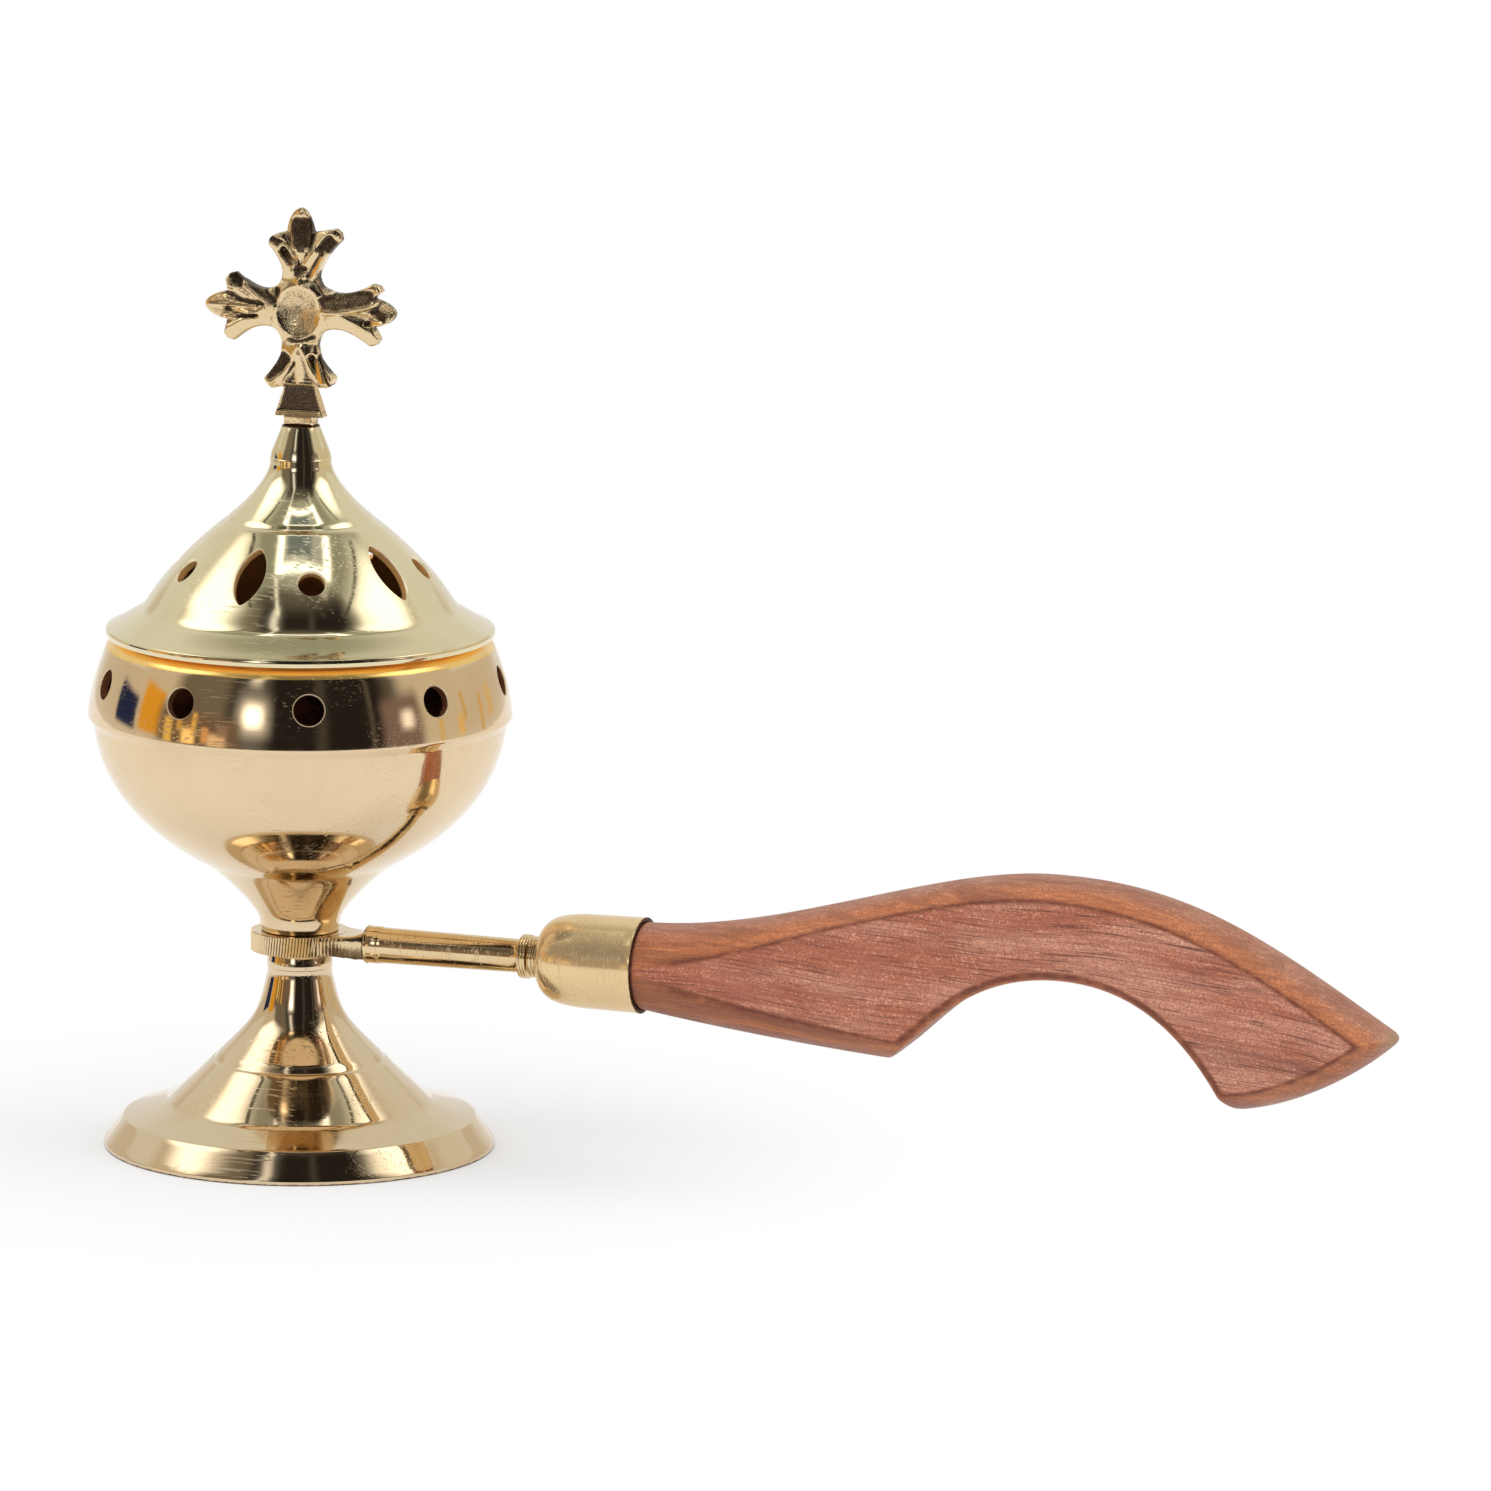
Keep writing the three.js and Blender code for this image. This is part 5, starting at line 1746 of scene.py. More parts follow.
@dataclass
class Handle(Piece):
    """Clamped eye, turned rod and ferrule on the handle's axis."""

    eye_base: float = 42.1
    eye_radius: float = 10.4
    eye_thickness: float = 4.2
    ribs: int = 96
    rib_depth: float = 0.38
    rib_slant: float = -2.4
    eye_edge: float = 0.12
    tongue: Pair = (5.0, 15.2)
    tongue_half_width: float = 8.8
    tongue_lift: float = 8.8
    tongue_cuts: int = 50
    tongue_half_height: float = 2.07
    tongue_drop: float = 1.1
    tongue_rise: float = 0.9
    tongue_end: float = 3.7
    tongue_powers: Pair = (9, 3)
    underside_depth: float = 0.2
    underside_start: Pair = (6.5, 9.5)
    rod_start: float = 15.2
    band_radius: float = 3.95
    band_length: float = 3.2
    rod_radii: Pair = (3.8, 3.55)
    rod_turned: float = 34.9
    collar_radius: float = 4.65
    collar_length: float = 2.2
    small_collar_radius: float = 4.4
    small_collar_length: float = 1.9
    tang_bore: float = 2.3
    ferrule_front: float = 4.9
    ferrule_radius: float = 10.15
    ferrule_flare: float = 0.25
    dome_length: float = 9.5
    ferrule_length: float = 22.9
    ferrule_wall: float = 0.9

    @property
    def rod_end(self) -> float:
        """Length along the handle at which the ferrule starts."""
        return self.rod_start + self.rod_turned + self.collar_length + self.small_collar_length

    def build_eye(self) -> Thing:
        """Raises the ribbed disc ring by ring and fuses the tongue to it."""
        layout = self.bench.layout
        sides = self.ribs * 4
        self.bench.clear()
        bpy.ops.mesh.primitive_circle_add(
            vertices=sides,
            radius=mm(self.eye_radius),
            fill_type="NGON",
            location=(mm(layout.vessel_x), 0, mm(self.eye_base)),
        )
        eye = bpy.context.object
        eye.name = "ribbed_eye"
        shrink = 1 - self.eye_edge / self.eye_radius
        for i, vertex in enumerate(eye.data.vertices):
            depth = self.rib_depth / self.eye_radius * (0, 0.5, 1, 0.5)[i % 4]
            vertex.co.xy *= (1 - depth) * shrink
        self.bench.settle(eye)
        self.bench.edit(eye, "FACE")
        centre = (mm(layout.vessel_x), 0, mm(layout.handle_z))
        wall = self.eye_thickness - 2 * self.eye_edge
        for lift, grow in ((self.eye_edge, 1 / shrink), (wall, 1), (self.eye_edge, shrink)):
            bpy.ops.mesh.extrude_region_move(TRANSFORM_OT_translate={"value": (0, 0, mm(lift))})
            bpy.ops.transform.resize(value=(grow, grow, 1), center_override=centre)
            if grow == 1:
                slant = math.radians(self.rib_slant)
                bpy.ops.transform.rotate(value=slant, orient_axis="Z", center_override=centre)
        bpy.ops.mesh.select_all(action="SELECT")
        bpy.ops.mesh.normals_make_consistent(inside=False)
        self.bench.clear()
        self.bench.fuse(eye, self.make_tongue())
        self.bench.smooth(eye, 22)
        self.note_hollows(eye)
        finish = CastBrass("eye_brass", shade=(0.16, 0.10, 0.05), roughness=0.18, grain=0.04)
        self.bench.fill_slots(eye, self.mix(finish))
        return self.dress(eye, "handle_eye", "stand", "cast_brass")

    def make_tongue(self) -> Thing:
        """Shapes a cube into the tongue that runs from the flat eye to the round rod."""
        layout = self.bench.layout
        start, end = self.tongue
        self.bench.clear()
        bpy.ops.mesh.primitive_cube_add(
            size=1,
            location=(mm(layout.vessel_x + (start + end) / 2), 0, mm(layout.handle_z)),
            scale=(mm(end - start), mm(2), mm(2)),
        )
        tongue = bpy.context.object
        self.bench.settle(tongue)
        self.bench.edit(tongue)
        bpy.ops.mesh.subdivide(number_cuts=self.tongue_cuts)
        self.bench.clear()
        box_power, round_power = self.tongue_powers
        for vertex in tongue.data.vertices:
            along = vertex.co.x * 1000 - layout.vessel_x
            share = (along - start) / (end - start)
            lifted = max(along - self.tongue_lift, 0) / (end - self.tongue_lift)
            across, up = vertex.co.y * 1000, vertex.co.z * 1000 - layout.handle_z
            square = max(abs(across), abs(up))
            if square < 1e-6:
                continue
            angle = math.atan2(up, across)
            cosine, sine = math.cos(angle), math.sin(angle)
            power = 2 / (box_power + (round_power - box_power) * share**3)
            width = self.tongue_half_width + (self.tongue_end - self.tongue_half_width) * share
            swell = self.tongue_drop * lifted if sine < 0 else self.tongue_rise * lifted**4
            tall = self.tongue_half_height + swell
            width -= self.comb(along) * self.rib_depth
            y = width * math.copysign(abs(cosine) ** power, cosine) * square
            z = tall * math.copysign(abs(sine) ** power, sine) * square
            rough = noise.noise(vertex.co * 1100) * self.underside_depth
            rough *= smoothstep(0.4, -0.6, sine) * square
            rough *= smoothstep(*self.underside_start, along)
            vertex.co.y = mm(y + rough * math.copysign(1, y))
            vertex.co.z = mm(layout.handle_z + z + rough)
        return tongue

    def comb(self, along: float) -> float:
        """Depth of the comb marks on the tongue's flanks, from 0 to 1."""
        pitch = math.tau * self.eye_radius / self.ribs
        return (0.5 - 0.5 * math.cos(math.tau * along / pitch)) * smoothstep(13.5, 9, along)

    def note_hollows(self, eye: Thing) -> None:
        """Marks the rough underside of the tongue and the roots of the ribs as hollows."""
        layout = self.bench.layout
        hollow = eye.data.attributes.new("hollow", "FLOAT", "POINT")
        for i, vertex in enumerate(eye.data.vertices):
            x = vertex.co.x * 1000 - layout.vessel_x
            reach = math.hypot(x, vertex.co.y * 1000)
            rise = vertex.co.z * 1000 - layout.handle_z
            low = smoothstep(1.2, -1.8, rise)
            root = smoothstep(self.eye_radius - 0.1, self.eye_radius - self.rib_depth, reach)
            side = abs(rise) < self.eye_thickness / 2 - self.eye_edge / 2
            ribbed = side and self.eye_radius - 0.8 < reach < self.eye_radius + 0.1
            value = low * 0.75 * smoothstep(7, 11, x) + (root * 0.9 if ribbed else 0.1)
            if side and abs(vertex.co.y) > mm(3) and x > self.tongue[0]:
                value += self.comb(x) * 0.6
            hollow.data[i].value = min(value, 1)

    def build_rod(self) -> Thing:
        """Turns the rod with its band, taper and two collars."""
        start, end = self.rod_start, self.rod_end
        band_end = start + self.band_length
        taper_end = start + self.rod_turned
        large_end = taper_end + self.collar_length
        thick, thin = self.rod_radii
        root = (thin, taper_end - 1)
        profile = [
            Vector((0, start + 9.5)),
            Vector((2.1, start + 9.5)),
            Vector((2.1, start)),
            Vector((self.band_radius - 0.25, start)),
            Vector((self.band_radius + 0.12, start + 0.25)),
            Vector((self.band_radius + 0.12, start + 0.6)),
            Vector((self.band_radius - 0.05, start + 0.8)),
            Vector((self.band_radius, start + 1.2)),
            Vector((self.band_radius, band_end)),
            *straight((thick, band_end), root, 30),
            *bend(root, (thin + 0.4, taper_end), 90, 60, 0.3, 0.2, 4),
            Vector((self.collar_radius, taper_end)),
            *self.collar_rings(self.collar_radius, taper_end, large_end - 0.3, 3),
            Vector((self.small_collar_radius - 0.3, large_end)),
            *self.collar_rings(self.small_collar_radius, large_end + 0.3, end, 2),
            Vector((self.tang_bore, end)),
            Vector((self.tang_bore, end - 11.5)),
            Vector((0, end - 11.5)),
        ]
        rod = self.bench.turn("turned_rod", profile, Spindle.HANDLE, 96)
        self.bench.round_edges(rod, 0.1, 2)
        self.bench.smooth(rod)
        finish = TurnedBrass(
            "rod_brass",
            Spindle.HANDLE,
            colour=(0.80, 0.61, 0.36),
            roughness=0.1,
            scratched=0.7,
            filmed=0.4,
            seams=((start, 0.5), (end, 0.4)),
        )
        self.bench.fill_slots(rod, self.mix(finish))
        return self.dress(rod, "handle_rod", "stand", "turned_brass")

    @staticmethod
    def collar_rings(radius: float, start: float, end: float, count: int) -> Profile:
        """Outline of a collar that fine grooves divide into rings."""
        pitch = (end - start) / count
        points = []
        for i in range(count):
            low = start + i * pitch
            points.append(Vector((radius - 0.14, low)))
            points.append(Vector((radius, low + 0.14)))
            points.append(Vector((radius, low + pitch - 0.14)))
        points.append(Vector((radius - 0.14, end)))
        return points

    def build_ferrule(self) -> Thing:
        """Turns the domed ferrule and leaves a small burr under its rim."""
        start = self.rod_end
        rim = start + self.ferrule_length
        dome = self.dome_curve(start)
        inner = [p for p in offset(dome, -self.ferrule_wall) if p.y > start + self.ferrule_wall]
        profile = [
            Vector((self.tang_bore, start)),
            *dome,
            *straight(dome[-1], (self.ferrule_radius - 0.05, rim - 0.8), 8)[1:],
            Vector((self.ferrule_radius, rim - 0.5)),
            Vector((self.ferrule_radius, rim)),
            Vector((self.ferrule_radius - self.ferrule_wall, rim)),
            *inner[::-2],
            Vector((self.tang_bore, start + self.ferrule_wall)),
            Vector((self.tang_bore, start)),
        ]
        ferrule = self.bench.turn("domed_ferrule", profile, Spindle.HANDLE, 128)
        self.bench.round_edges(ferrule, 0.18)
        self.bench.smooth(ferrule)
        finish = TurnedBrass(
            "ferrule_brass",
            Spindle.HANDLE,
            colour=(0.83, 0.61, 0.33),
            roughness=0.15,
            lines=2600,
            depth=0.0035,
            scratched=0.6,
            filmed=0.3,
            metallic=0.75,
            seams=((start, 0.4), (rim, 0.2)),
        )
        self.bench.fill_slots(ferrule, self.mix(finish))
        return self.dress(ferrule, "ferrule", "stand", "turned_brass")

    def dome_curve(self, start: float) -> Profile:
        """Curve of the dome, radius against length, from the rod to the straight wall."""
        end = (self.ferrule_radius - self.ferrule_flare, start + self.dome_length)
        return bend((self.ferrule_front, start), end, 20, 86, 0.35, 0.6, 24)


@dataclass(frozen=True)
class GripEdge:
    """One edge of the grip's plate.

    Attributes:
        points: Outline of the edge, in millimetres.
        depth: How far the edge draws in at a share of its length and a distance from the middle.
        steps: Number of faces along it.
    """

    points: Profile
    depth: Callable[[float, float], float]
    steps: int


@dataclass
class Grip(Piece):
    """Carved wooden grip: a bow-shaped plate with crowned edges and a softened arch."""

    ferrule_rim: float = 77.1
    gap: float = 0.3
    half: float = 9.0
    start_radius: float = 9.2
    crown: Pair = (89.0, 25.8)
    tip: Pair = (164.1, -3.1)
    toe: Pair = (129.4, -20.3)
    arch: Pair = (92.4, 5.2)
    heel: Pair = (54.8, -15.3)
    softening: float = 1.6
    start_crown: float = 8.9
    neck_crown: float = 3.7
    tip_crown: float = 4.2
    end_crown: float = 4.5
    heel_crown: float = 5.4
    neck_share: float = 0.22
    tenon_radius: float = 8.7
    tenon_length: float = 13.4
    levels: tuple[float, ...] = (0, 0.2, 0.4, 0.55, 0.68, 0.78, 0.86, 0.92, 0.96, 0.985, 1)
    border: float = 0.7
    corner_rounding: tuple[float, ...] = (1.8, 2.0, 0.8, 0, 0)
    corner_steps: int = 5

    def crown_depth(self, rise: float, y: float) -> float:
        """Fall of a crowned edge at a distance from its middle."""
        radius = (self.half**2 + rise**2) / (2 * rise)
        return radius - math.sqrt(radius**2 - y**2)

    def soft_depth(self, radius: float, y: float) -> float:
        """Fall of a softened edge at a distance from its middle."""
        into = y - (self.half - radius)
        return radius - math.sqrt(max(radius**2 - into**2, 0)) if into > 0 else 0

    def top_crown(self, share: float) -> float:
        """Rise of the top edge's crown along the grip."""
        settled = min(share / self.neck_share, 1) ** 0.6
        swelling = max(share - self.neck_share, 0) / (1 - self.neck_share)
        start = self.start_crown + (self.neck_crown - self.start_crown) * settled
        return start + (self.tip_crown - start) * swelling

    def edges(self) -> list[GripEdge]:
        """The five edges, clockwise from the ferrule's top."""
        rim, axis = self.ferrule_rim, self.bench.layout.handle_z

        def at(place: Pair) -> Pair:
            """A place counted from the ferrule's rim and the handle's axis."""
            return (rim + place[0], axis + place[1])

        top = at((self.gap, self.start_radius))
        bottom = at((self.gap, -self.start_radius))
        crown, tip, toe = at(self.crown), at(self.tip), at(self.toe)
        arch, heel = at(self.arch), at(self.heel)
        back = bend(top, crown, 0, 0, 0.34, 0.29, 40)
        back += bend(crown, tip, 0, -32, 0.37, 0.42, 40)[1:]
        hollow = bend(toe, arch, 119, 180, 0.45, 0.34, 30)
        hollow += bend(arch, heel, 180, 219, 0.45, 0.3, 30)[1:]
        swelling = self.start_crown - self.heel_crown
        return [
            GripEdge(back, lambda share, y: self.crown_depth(self.top_crown(share), y), 88),
            GripEdge(
                bend(tip, toe, -136, -174, 0.27, 0.36, 24),
                lambda share, y: self.crown_depth(self.end_crown, y),
                22,
            ),
            GripEdge(hollow, lambda share, y: self.soft_depth(self.softening, y), 60),
            GripEdge(
                bend(heel, bottom, 176, 171, 0.4, 0.2, 24),
                lambda share, y: self.crown_depth(self.heel_crown + swelling * share, y),
                26,
            ),
            GripEdge([Vector(bottom), Vector(top)], lambda share, y: 0, 6),
        ]

    def shifted(self, edge: GripEdge, y: float, extra: float) -> Profile:
        """An edge drawn in for a level, lengthened at both ends so that neighbours cross."""
        last = len(edge.points) - 1
        points = []
        for i, p in enumerate(edge.points):
            along = (edge.points[min(i + 1, last)] - edge.points[max(i - 1, 0)]).normalized()
            inset = edge.depth(i / last, y) + extra * max(self.settled(p.x), 0.06)
            points.append(p + Vector((along.y, -along.x)) * inset)
        lead = points[0] + (points[0] - points[1]).normalized() * self.half
        trail = points[-1] + (points[-1] - points[-2]).normalized() * self.half
        return [lead, *points, trail]

    def settled(self, x: float) -> float:
        """Share to which the flat faces have left the round end at the ferrule."""
        return smoothstep(0, 12, x - self.ferrule_rim)

    @staticmethod
    def crossing(first: Profile, second: Profile) -> tuple[int, int, Vector]:
        """Last segment of one line that meets another, that one's segment, and where."""
        for i in range(len(first) - 2, -1, -1):
            for j in range(len(second) - 1):
                spot = intersect_line_line_2d(first[i], first[i + 1], second[j], second[j + 1])
                if spot is not None:
                    return i, j + 1, Vector(spot)
        raise ValueError("two edges of the grip do not meet")

    @staticmethod
    def respaced(points: Profile, steps: int) -> Profile:
        """Evenly spaced points along a line, without its last one."""
        lengths = [0.0]
        for a, b in zip(points, points[1:]):
            lengths.append(lengths[-1] + (b - a).length)
        result = []
        segment = 0
        for k in range(steps):
            target = lengths[-1] * k / steps
            while lengths[segment + 1] < target:
                segment += 1
            span = lengths[segment + 1] - lengths[segment]
            share = (target - lengths[segment]) / span if span else 0
            result.append(points[segment].lerp(points[segment + 1], share))
        return result

    @staticmethod
    def trimmed(points: Profile, length: float) -> Profile:
        """A line without a length at its start."""
        for i, (a, b) in enumerate(zip(points, points[1:])):
            span = (b - a).length
            if span > length:
                return [a.lerp(b, length / span), *points[i + 1 :]]
            length -= span
        return points[-1:]

    def loop(self, y: float, extra: float = 0) -> Profile:
        """Outline of the grip at a distance from its middle plane, its corners rounded."""
        edges = self.edges()
        lines = [self.shifted(edge, y, extra) for edge in edges]
        corners = [self.crossing(line, lines[(i + 1) % len(lines)]) for i, line in enumerate(lines)]
        cut = [each * (1 - 0.6 * (y / self.half) ** 2) for each in self.corner_rounding]
        sides = []
        for i, line in enumerate(lines):
            _, after, start = corners[i - 1]
            before, _, end = corners[i]
            side = self.trimmed([start, *line[after : before + 1], end], cut[i - 1])
            sides.append(self.trimmed(side[::-1], cut[i])[::-1])
        points = []
        for i, side in enumerate(sides):
            points += self.respaced(side, edges[i].steps)
            if cut[i]:
                corner, onward = corners[i][2], sides[(i + 1) % len(sides)][0]
                for k in range(self.corner_steps):
                    t = k / self.corner_steps
                    points.append(
                        side[-1] * (1 - t) ** 2 + corner * 2 * t * (1 - t) + onward * t * t
                    )
        return points

    def build(self) -> Thing:
        """Stacks outlines into the grip's skin, adds the tenon and notes where it is worn."""
        mesh = bpy.data.meshes.new("carved_grip")
        grip = bpy.data.objects.new("carved_grip", mesh)
        bpy.context.scene.collection.objects.link(grip)
        skin = bmesh.new()
        rings = [(-level, 0.0) for level in reversed(self.levels[1:])]
        rings += [(level, 0.0) for level in self.levels]
        rings = [(-1.0, self.border), *rings, (1.0, self.border)]
        x0 = self.bench.layout.vessel_x
        for name in ("crown", "crease", "outer", "worn"):
            skin.verts.layers.float.new(name)
        crown, crease, outer, worn = skin.verts.layers.float.values()
        tip = Vector((self.ferrule_rim + self.tip[0], self.bench.layout.handle_z + self.tip[1]))
        stacked = []
        for level, extra in rings:
            row = []
            for p in self.loop(abs(level) * self.half, extra):
                vertex = skin.verts.new((mm(x0 + p.x), mm(level * self.half), mm(p.y)))
                on_round = 0.0 if extra else 1.0
                vertex[crown] = on_round
                vertex[crease] = on_round * smoothstep(0.93, 1.0, abs(level)) * self.settled(p.x)
                vertex[outer] = 1 - abs(level)
                vertex[worn] = smoothstep(4.5, 1.0, (p - tip).length)
                row.append(vertex)
            stacked.append(row)
        count = len(stacked[0])
        for low, high in zip(stacked, stacked[1:]):
            for i in range(count):
                after = (i + 1) % count
                skin.faces.new((low[i], high[i], high[after], low[after]))
        skin.faces.new(stacked[0])
        skin.faces.new(stacked[-1][::-1])
        bmesh.ops.recalc_face_normals(skin, faces=skin.faces)
        skin.to_mesh(mesh)
        skin.free()
        tenon = self.bench.turn("tenon", self.tenon_profile(), Spindle.HANDLE, 64)
        grip = self.bench.join(grip, tenon)
        self.bench.smooth(grip, 24)
        self.bench.fill_slots(grip, self.mix(GripWood("grip_wood")))
        return self.dress(grip, "grip", "stand", "wood")

    def tenon_profile(self) -> Profile:
        """Outline of the round tenon inside the ferrule, bored for the tang."""
        start, end = self.ferrule_rim - self.tenon_length, self.ferrule_rim + self.gap + 0.1
        return [
            Vector((2.3, start)),
            Vector((self.tenon_radius - 1.5, start)),
            Vector((self.tenon_radius, start + 1.5)),
            Vector((self.tenon_radius, end)),
            Vector((2.3, end)),
            Vector((2.3, start)),
        ]


# Studio


@dataclass(frozen=True)
class Panel:
    """A rectangle of the room's ceiling, on a plane one metre above the room's centre.

    Attributes:
        right: Centre to the right of the camera's direction, in metres.
        near: Centre towards the camera, in metres.
        width: Half width to the right, in metres.
        depth: Half depth towards the camera, in metres.
        colour: Brightness and tint.
        soft: Width of its faded edge, in metres.
    """

    right: float
    near: float
    width: float
    depth: float
    colour: Triple
    soft: float = 0.03


@dataclass(frozen=True)
class Patch:
    """A patch of the room's wall that the metal reflects, seen from the vessel.

    Attributes:
        azimuth: Centre, in degrees to the right of the camera's direction.
        elevation: Centre above the horizon, in degrees.
        width: Half width, in degrees.
        height: Half height, in degrees.
        colour: Brightness and tint.
        soft: Width of its faded edge, in degrees.
    """

    azimuth: float
    elevation: float
    width: float
    height: float
    colour: Triple
    soft: float = 4.0


@dataclass
class Studio:
    """Floor, reflected room, lamps, world and camera.

    Attributes:
        layout: Places that all pieces share.
        room_radius: Radius of the reflected room, in metres.
        room_height: Height of the room's centre, in metres.
        base: Colour of the room where nothing else shows.
        camera_turns: Azimuth, elevation and roll of the camera, in degrees.
        camera_target: Where it looks, in metres.
        camera_distance: Distance from there, in metres.
        focal_pixels: Focal length, in pixels of the photo.
        photo_width: Width of the photo, in pixels.
        sensor_width: Width of the sensor, in millimetres.
        patches: What the room's wall shows, each over the ones before it.
        panels: What its ceiling shows, over the patches.
    """

    layout: Layout
    room_radius: float = 1.1
    room_height: float = 0.1
    base: Triple = (0.84, 0.84, 0.82)
    camera_turns: Triple = (18.425, 10.695, 0.547)
    camera_target: Triple = (0.000725, 0, 0.09261)
    camera_distance: float = 2.29486
    focal_pixels: float = 11032.95
    photo_width: float = 1491
    sensor_width: float = 36
    patches: tuple[Patch, ...] = (
        Patch(-105, 20, 45, 26, (0.70, 0.64, 0.54), 14),
        Patch(105, 20, 45, 26, (0.70, 0.64, 0.54), 14),
        Patch(0, 33, 62, 41, (0.13, 0.12, 0.10), 12),
        Patch(2, 26, 50, 36, (0.022, 0.019, 0.018), 12),
        Patch(-56, 30, 17, 30, (0.20, 0.175, 0.14), 12),
        Patch(-25, 27, 8, 33, (0.17, 0.17, 0.17), 12),
        Patch(-25, 46, 3.5, 15, (1.0, 1.0, 1.0), 6),
        Patch(-24, 16, 8, 9, (0.8, 0.8, 0.8), 11),
        Patch(-24, 17, 4.5, 5, (3.4, 3.4, 3.4), 8),
        Patch(14, 30, 3, 32, (0.07, 0.065, 0.06), 5),
        Patch(42, 20, 1.2, 24, (0.12, 0.11, 0.10), 2),
        Patch(-107, 4, 9, 6, (0.02, 0.03, 0.10), 2),
        Patch(-87, 8, 8, 9, (0.85, 0.42, 0.04), 2),
        Patch(-55, 5, 25, 9, (0.20, 0.14, 0.10), 8),
        Patch(-73, 3, 2.5, 6, (1.0, 0.68, 0.20), 2),
        Patch(-66, 8, 1.6, 4, (0.75, 0.48, 0.15), 1.5),
        Patch(-60, 2, 4, 4, (1.4, 1.0, 0.42), 3),
        Patch(-57, 9, 1.4, 5, (1.0, 0.62, 0.17), 1.5),
        Patch(-50, 4, 2, 4, (0.85, 0.46, 0.19), 2),
        Patch(-43, 1, 5, 4, (1.0, 0.72, 0.46), 3),
        Patch(-40, 7, 3, 3, (0.34, 0.24, 0.18), 3),
        Patch(60, 8, 12, 14, (0.24, 0.18, 0.165), 7),
        Patch(63, 11, 3.5, 4, (1.5, 1.4, 1.4), 6),
        Patch(84, 3, 1.5, 7, (0.80, 0.56, 0.20), 2),
        Patch(99, 1, 2.5, 4, (0.90, 0.62, 0.26), 2),
        Patch(103, 7, 1.2, 5, (0.70, 0.46, 0.16), 1.5),
        Patch(118, 1, 1.5, 6, (0.75, 0.50, 0.18), 2),
        Patch(128, 2, 3, 4, (0.80, 0.60, 0.30), 2),
    )
    panels: tuple[Panel, ...] = (
        Panel(0, -0.47, 0.66, 0.74, (0.34, 0.35, 0.29), 0.16),
        Panel(0, -0.75, 0.5, 0.35, (0.55, 0.56, 0.47), 0.3),
        Panel(-1.05, -0.10, 0.42, 0.44, (2.2, 2.2, 2.1), 0.45),
        Panel(1.02, 0.0, 0.40, 0.34, (2.2, 2.2, 2.1), 0.42),
        Panel(-0.55, -0.02, 0.022, 0.42, (0.07, 0.065, 0.05), 0.02),
        Panel(0.56, 0.06, 0.018, 0.40, (0.07, 0.065, 0.05), 0.02),
        Panel(-0.24, 0.38, 0.016, 0.22, (1.2, 1.2, 1.15), 0.03),
        Panel(0.26, 0.26, 0.03, 0.10, (0.7, 0.7, 0.66), 0.05),
        Panel(0.03, 0.02, 0.28, 0.17, (2.4, 2.4, 2.4), 0.05),
        Panel(0.03, 0.0, 0.21, 0.12, (0.48, 0.50, 0.50), 0.03),
        Panel(-0.01, 0.0, 0.13, 0.10, (0.20, 0.25, 0.28), 0.03),
        Panel(0, -1.7, 3, 1.1, (0.80, 0.80, 0.74), 0.4),
    )

    def build(self) -> None:
        """Builds the studio."""
        self.build_floor()
        self.build_room()
        self.build_lamps()
        self.build_world()
        self.build_camera()

    @staticmethod
    def shown(sheet: Sheet) -> Socket:
        """1 for camera, glossy and transmission rays, 0 for the rest."""
        path = sheet.add("ShaderNodeLightPath")
        either = sheet.math("MAXIMUM", path.outputs["Is Camera Ray"], path.outputs["Is Glossy Ray"])
        return sheet.math("MAXIMUM", either, path.outputs["Is Transmission Ray"])

    def build_floor(self) -> None:
        """A pale floor that shows white but keeps a soft shadow."""
        Bench.clear()
        bpy.ops.mesh.primitive_plane_add(size=8, location=(0, 0, -mm(0.05)))
        floor = bpy.context.object
        floor.name = "studio_floor"
        material = bpy.data.materials.new("pale_paper")
        material.use_nodes = True
        sheet = Sheet(material.node_tree)
        paper = sheet.add("ShaderNodeBsdfDiffuse", {"Color": (0.8, 0.8, 0.8, 1)})
        glow = sheet.add("ShaderNodeEmission", {"Color": WHITE, "Strength": 1.0})
        place = sheet.add("ShaderNodeTexCoord").outputs["Object"]
        away = sheet.length(sheet.shift(place, place=(-mm(self.layout.vessel_x), 0, 0)))
        # Painted shade: the glow share falls from 1 beyond 14 cm from the vessel's axis to 0.3
        # within 3 cm, so the floor shows a little darker round the vessel, besides keeping its real
        # shadow.
        share = sheet.math("MULTIPLY", self.shown(sheet), sheet.remap(away, 0.03, 0.14, 0.3, 1))
        mixed = sheet.add(
            "ShaderNodeMixShader", {0: share, 1: paper.outputs[0], 2: glow.outputs[0]}
        )
        sheet.add("ShaderNodeOutputMaterial", {0: mixed.outputs[0]})
        floor.data.materials.append(material)

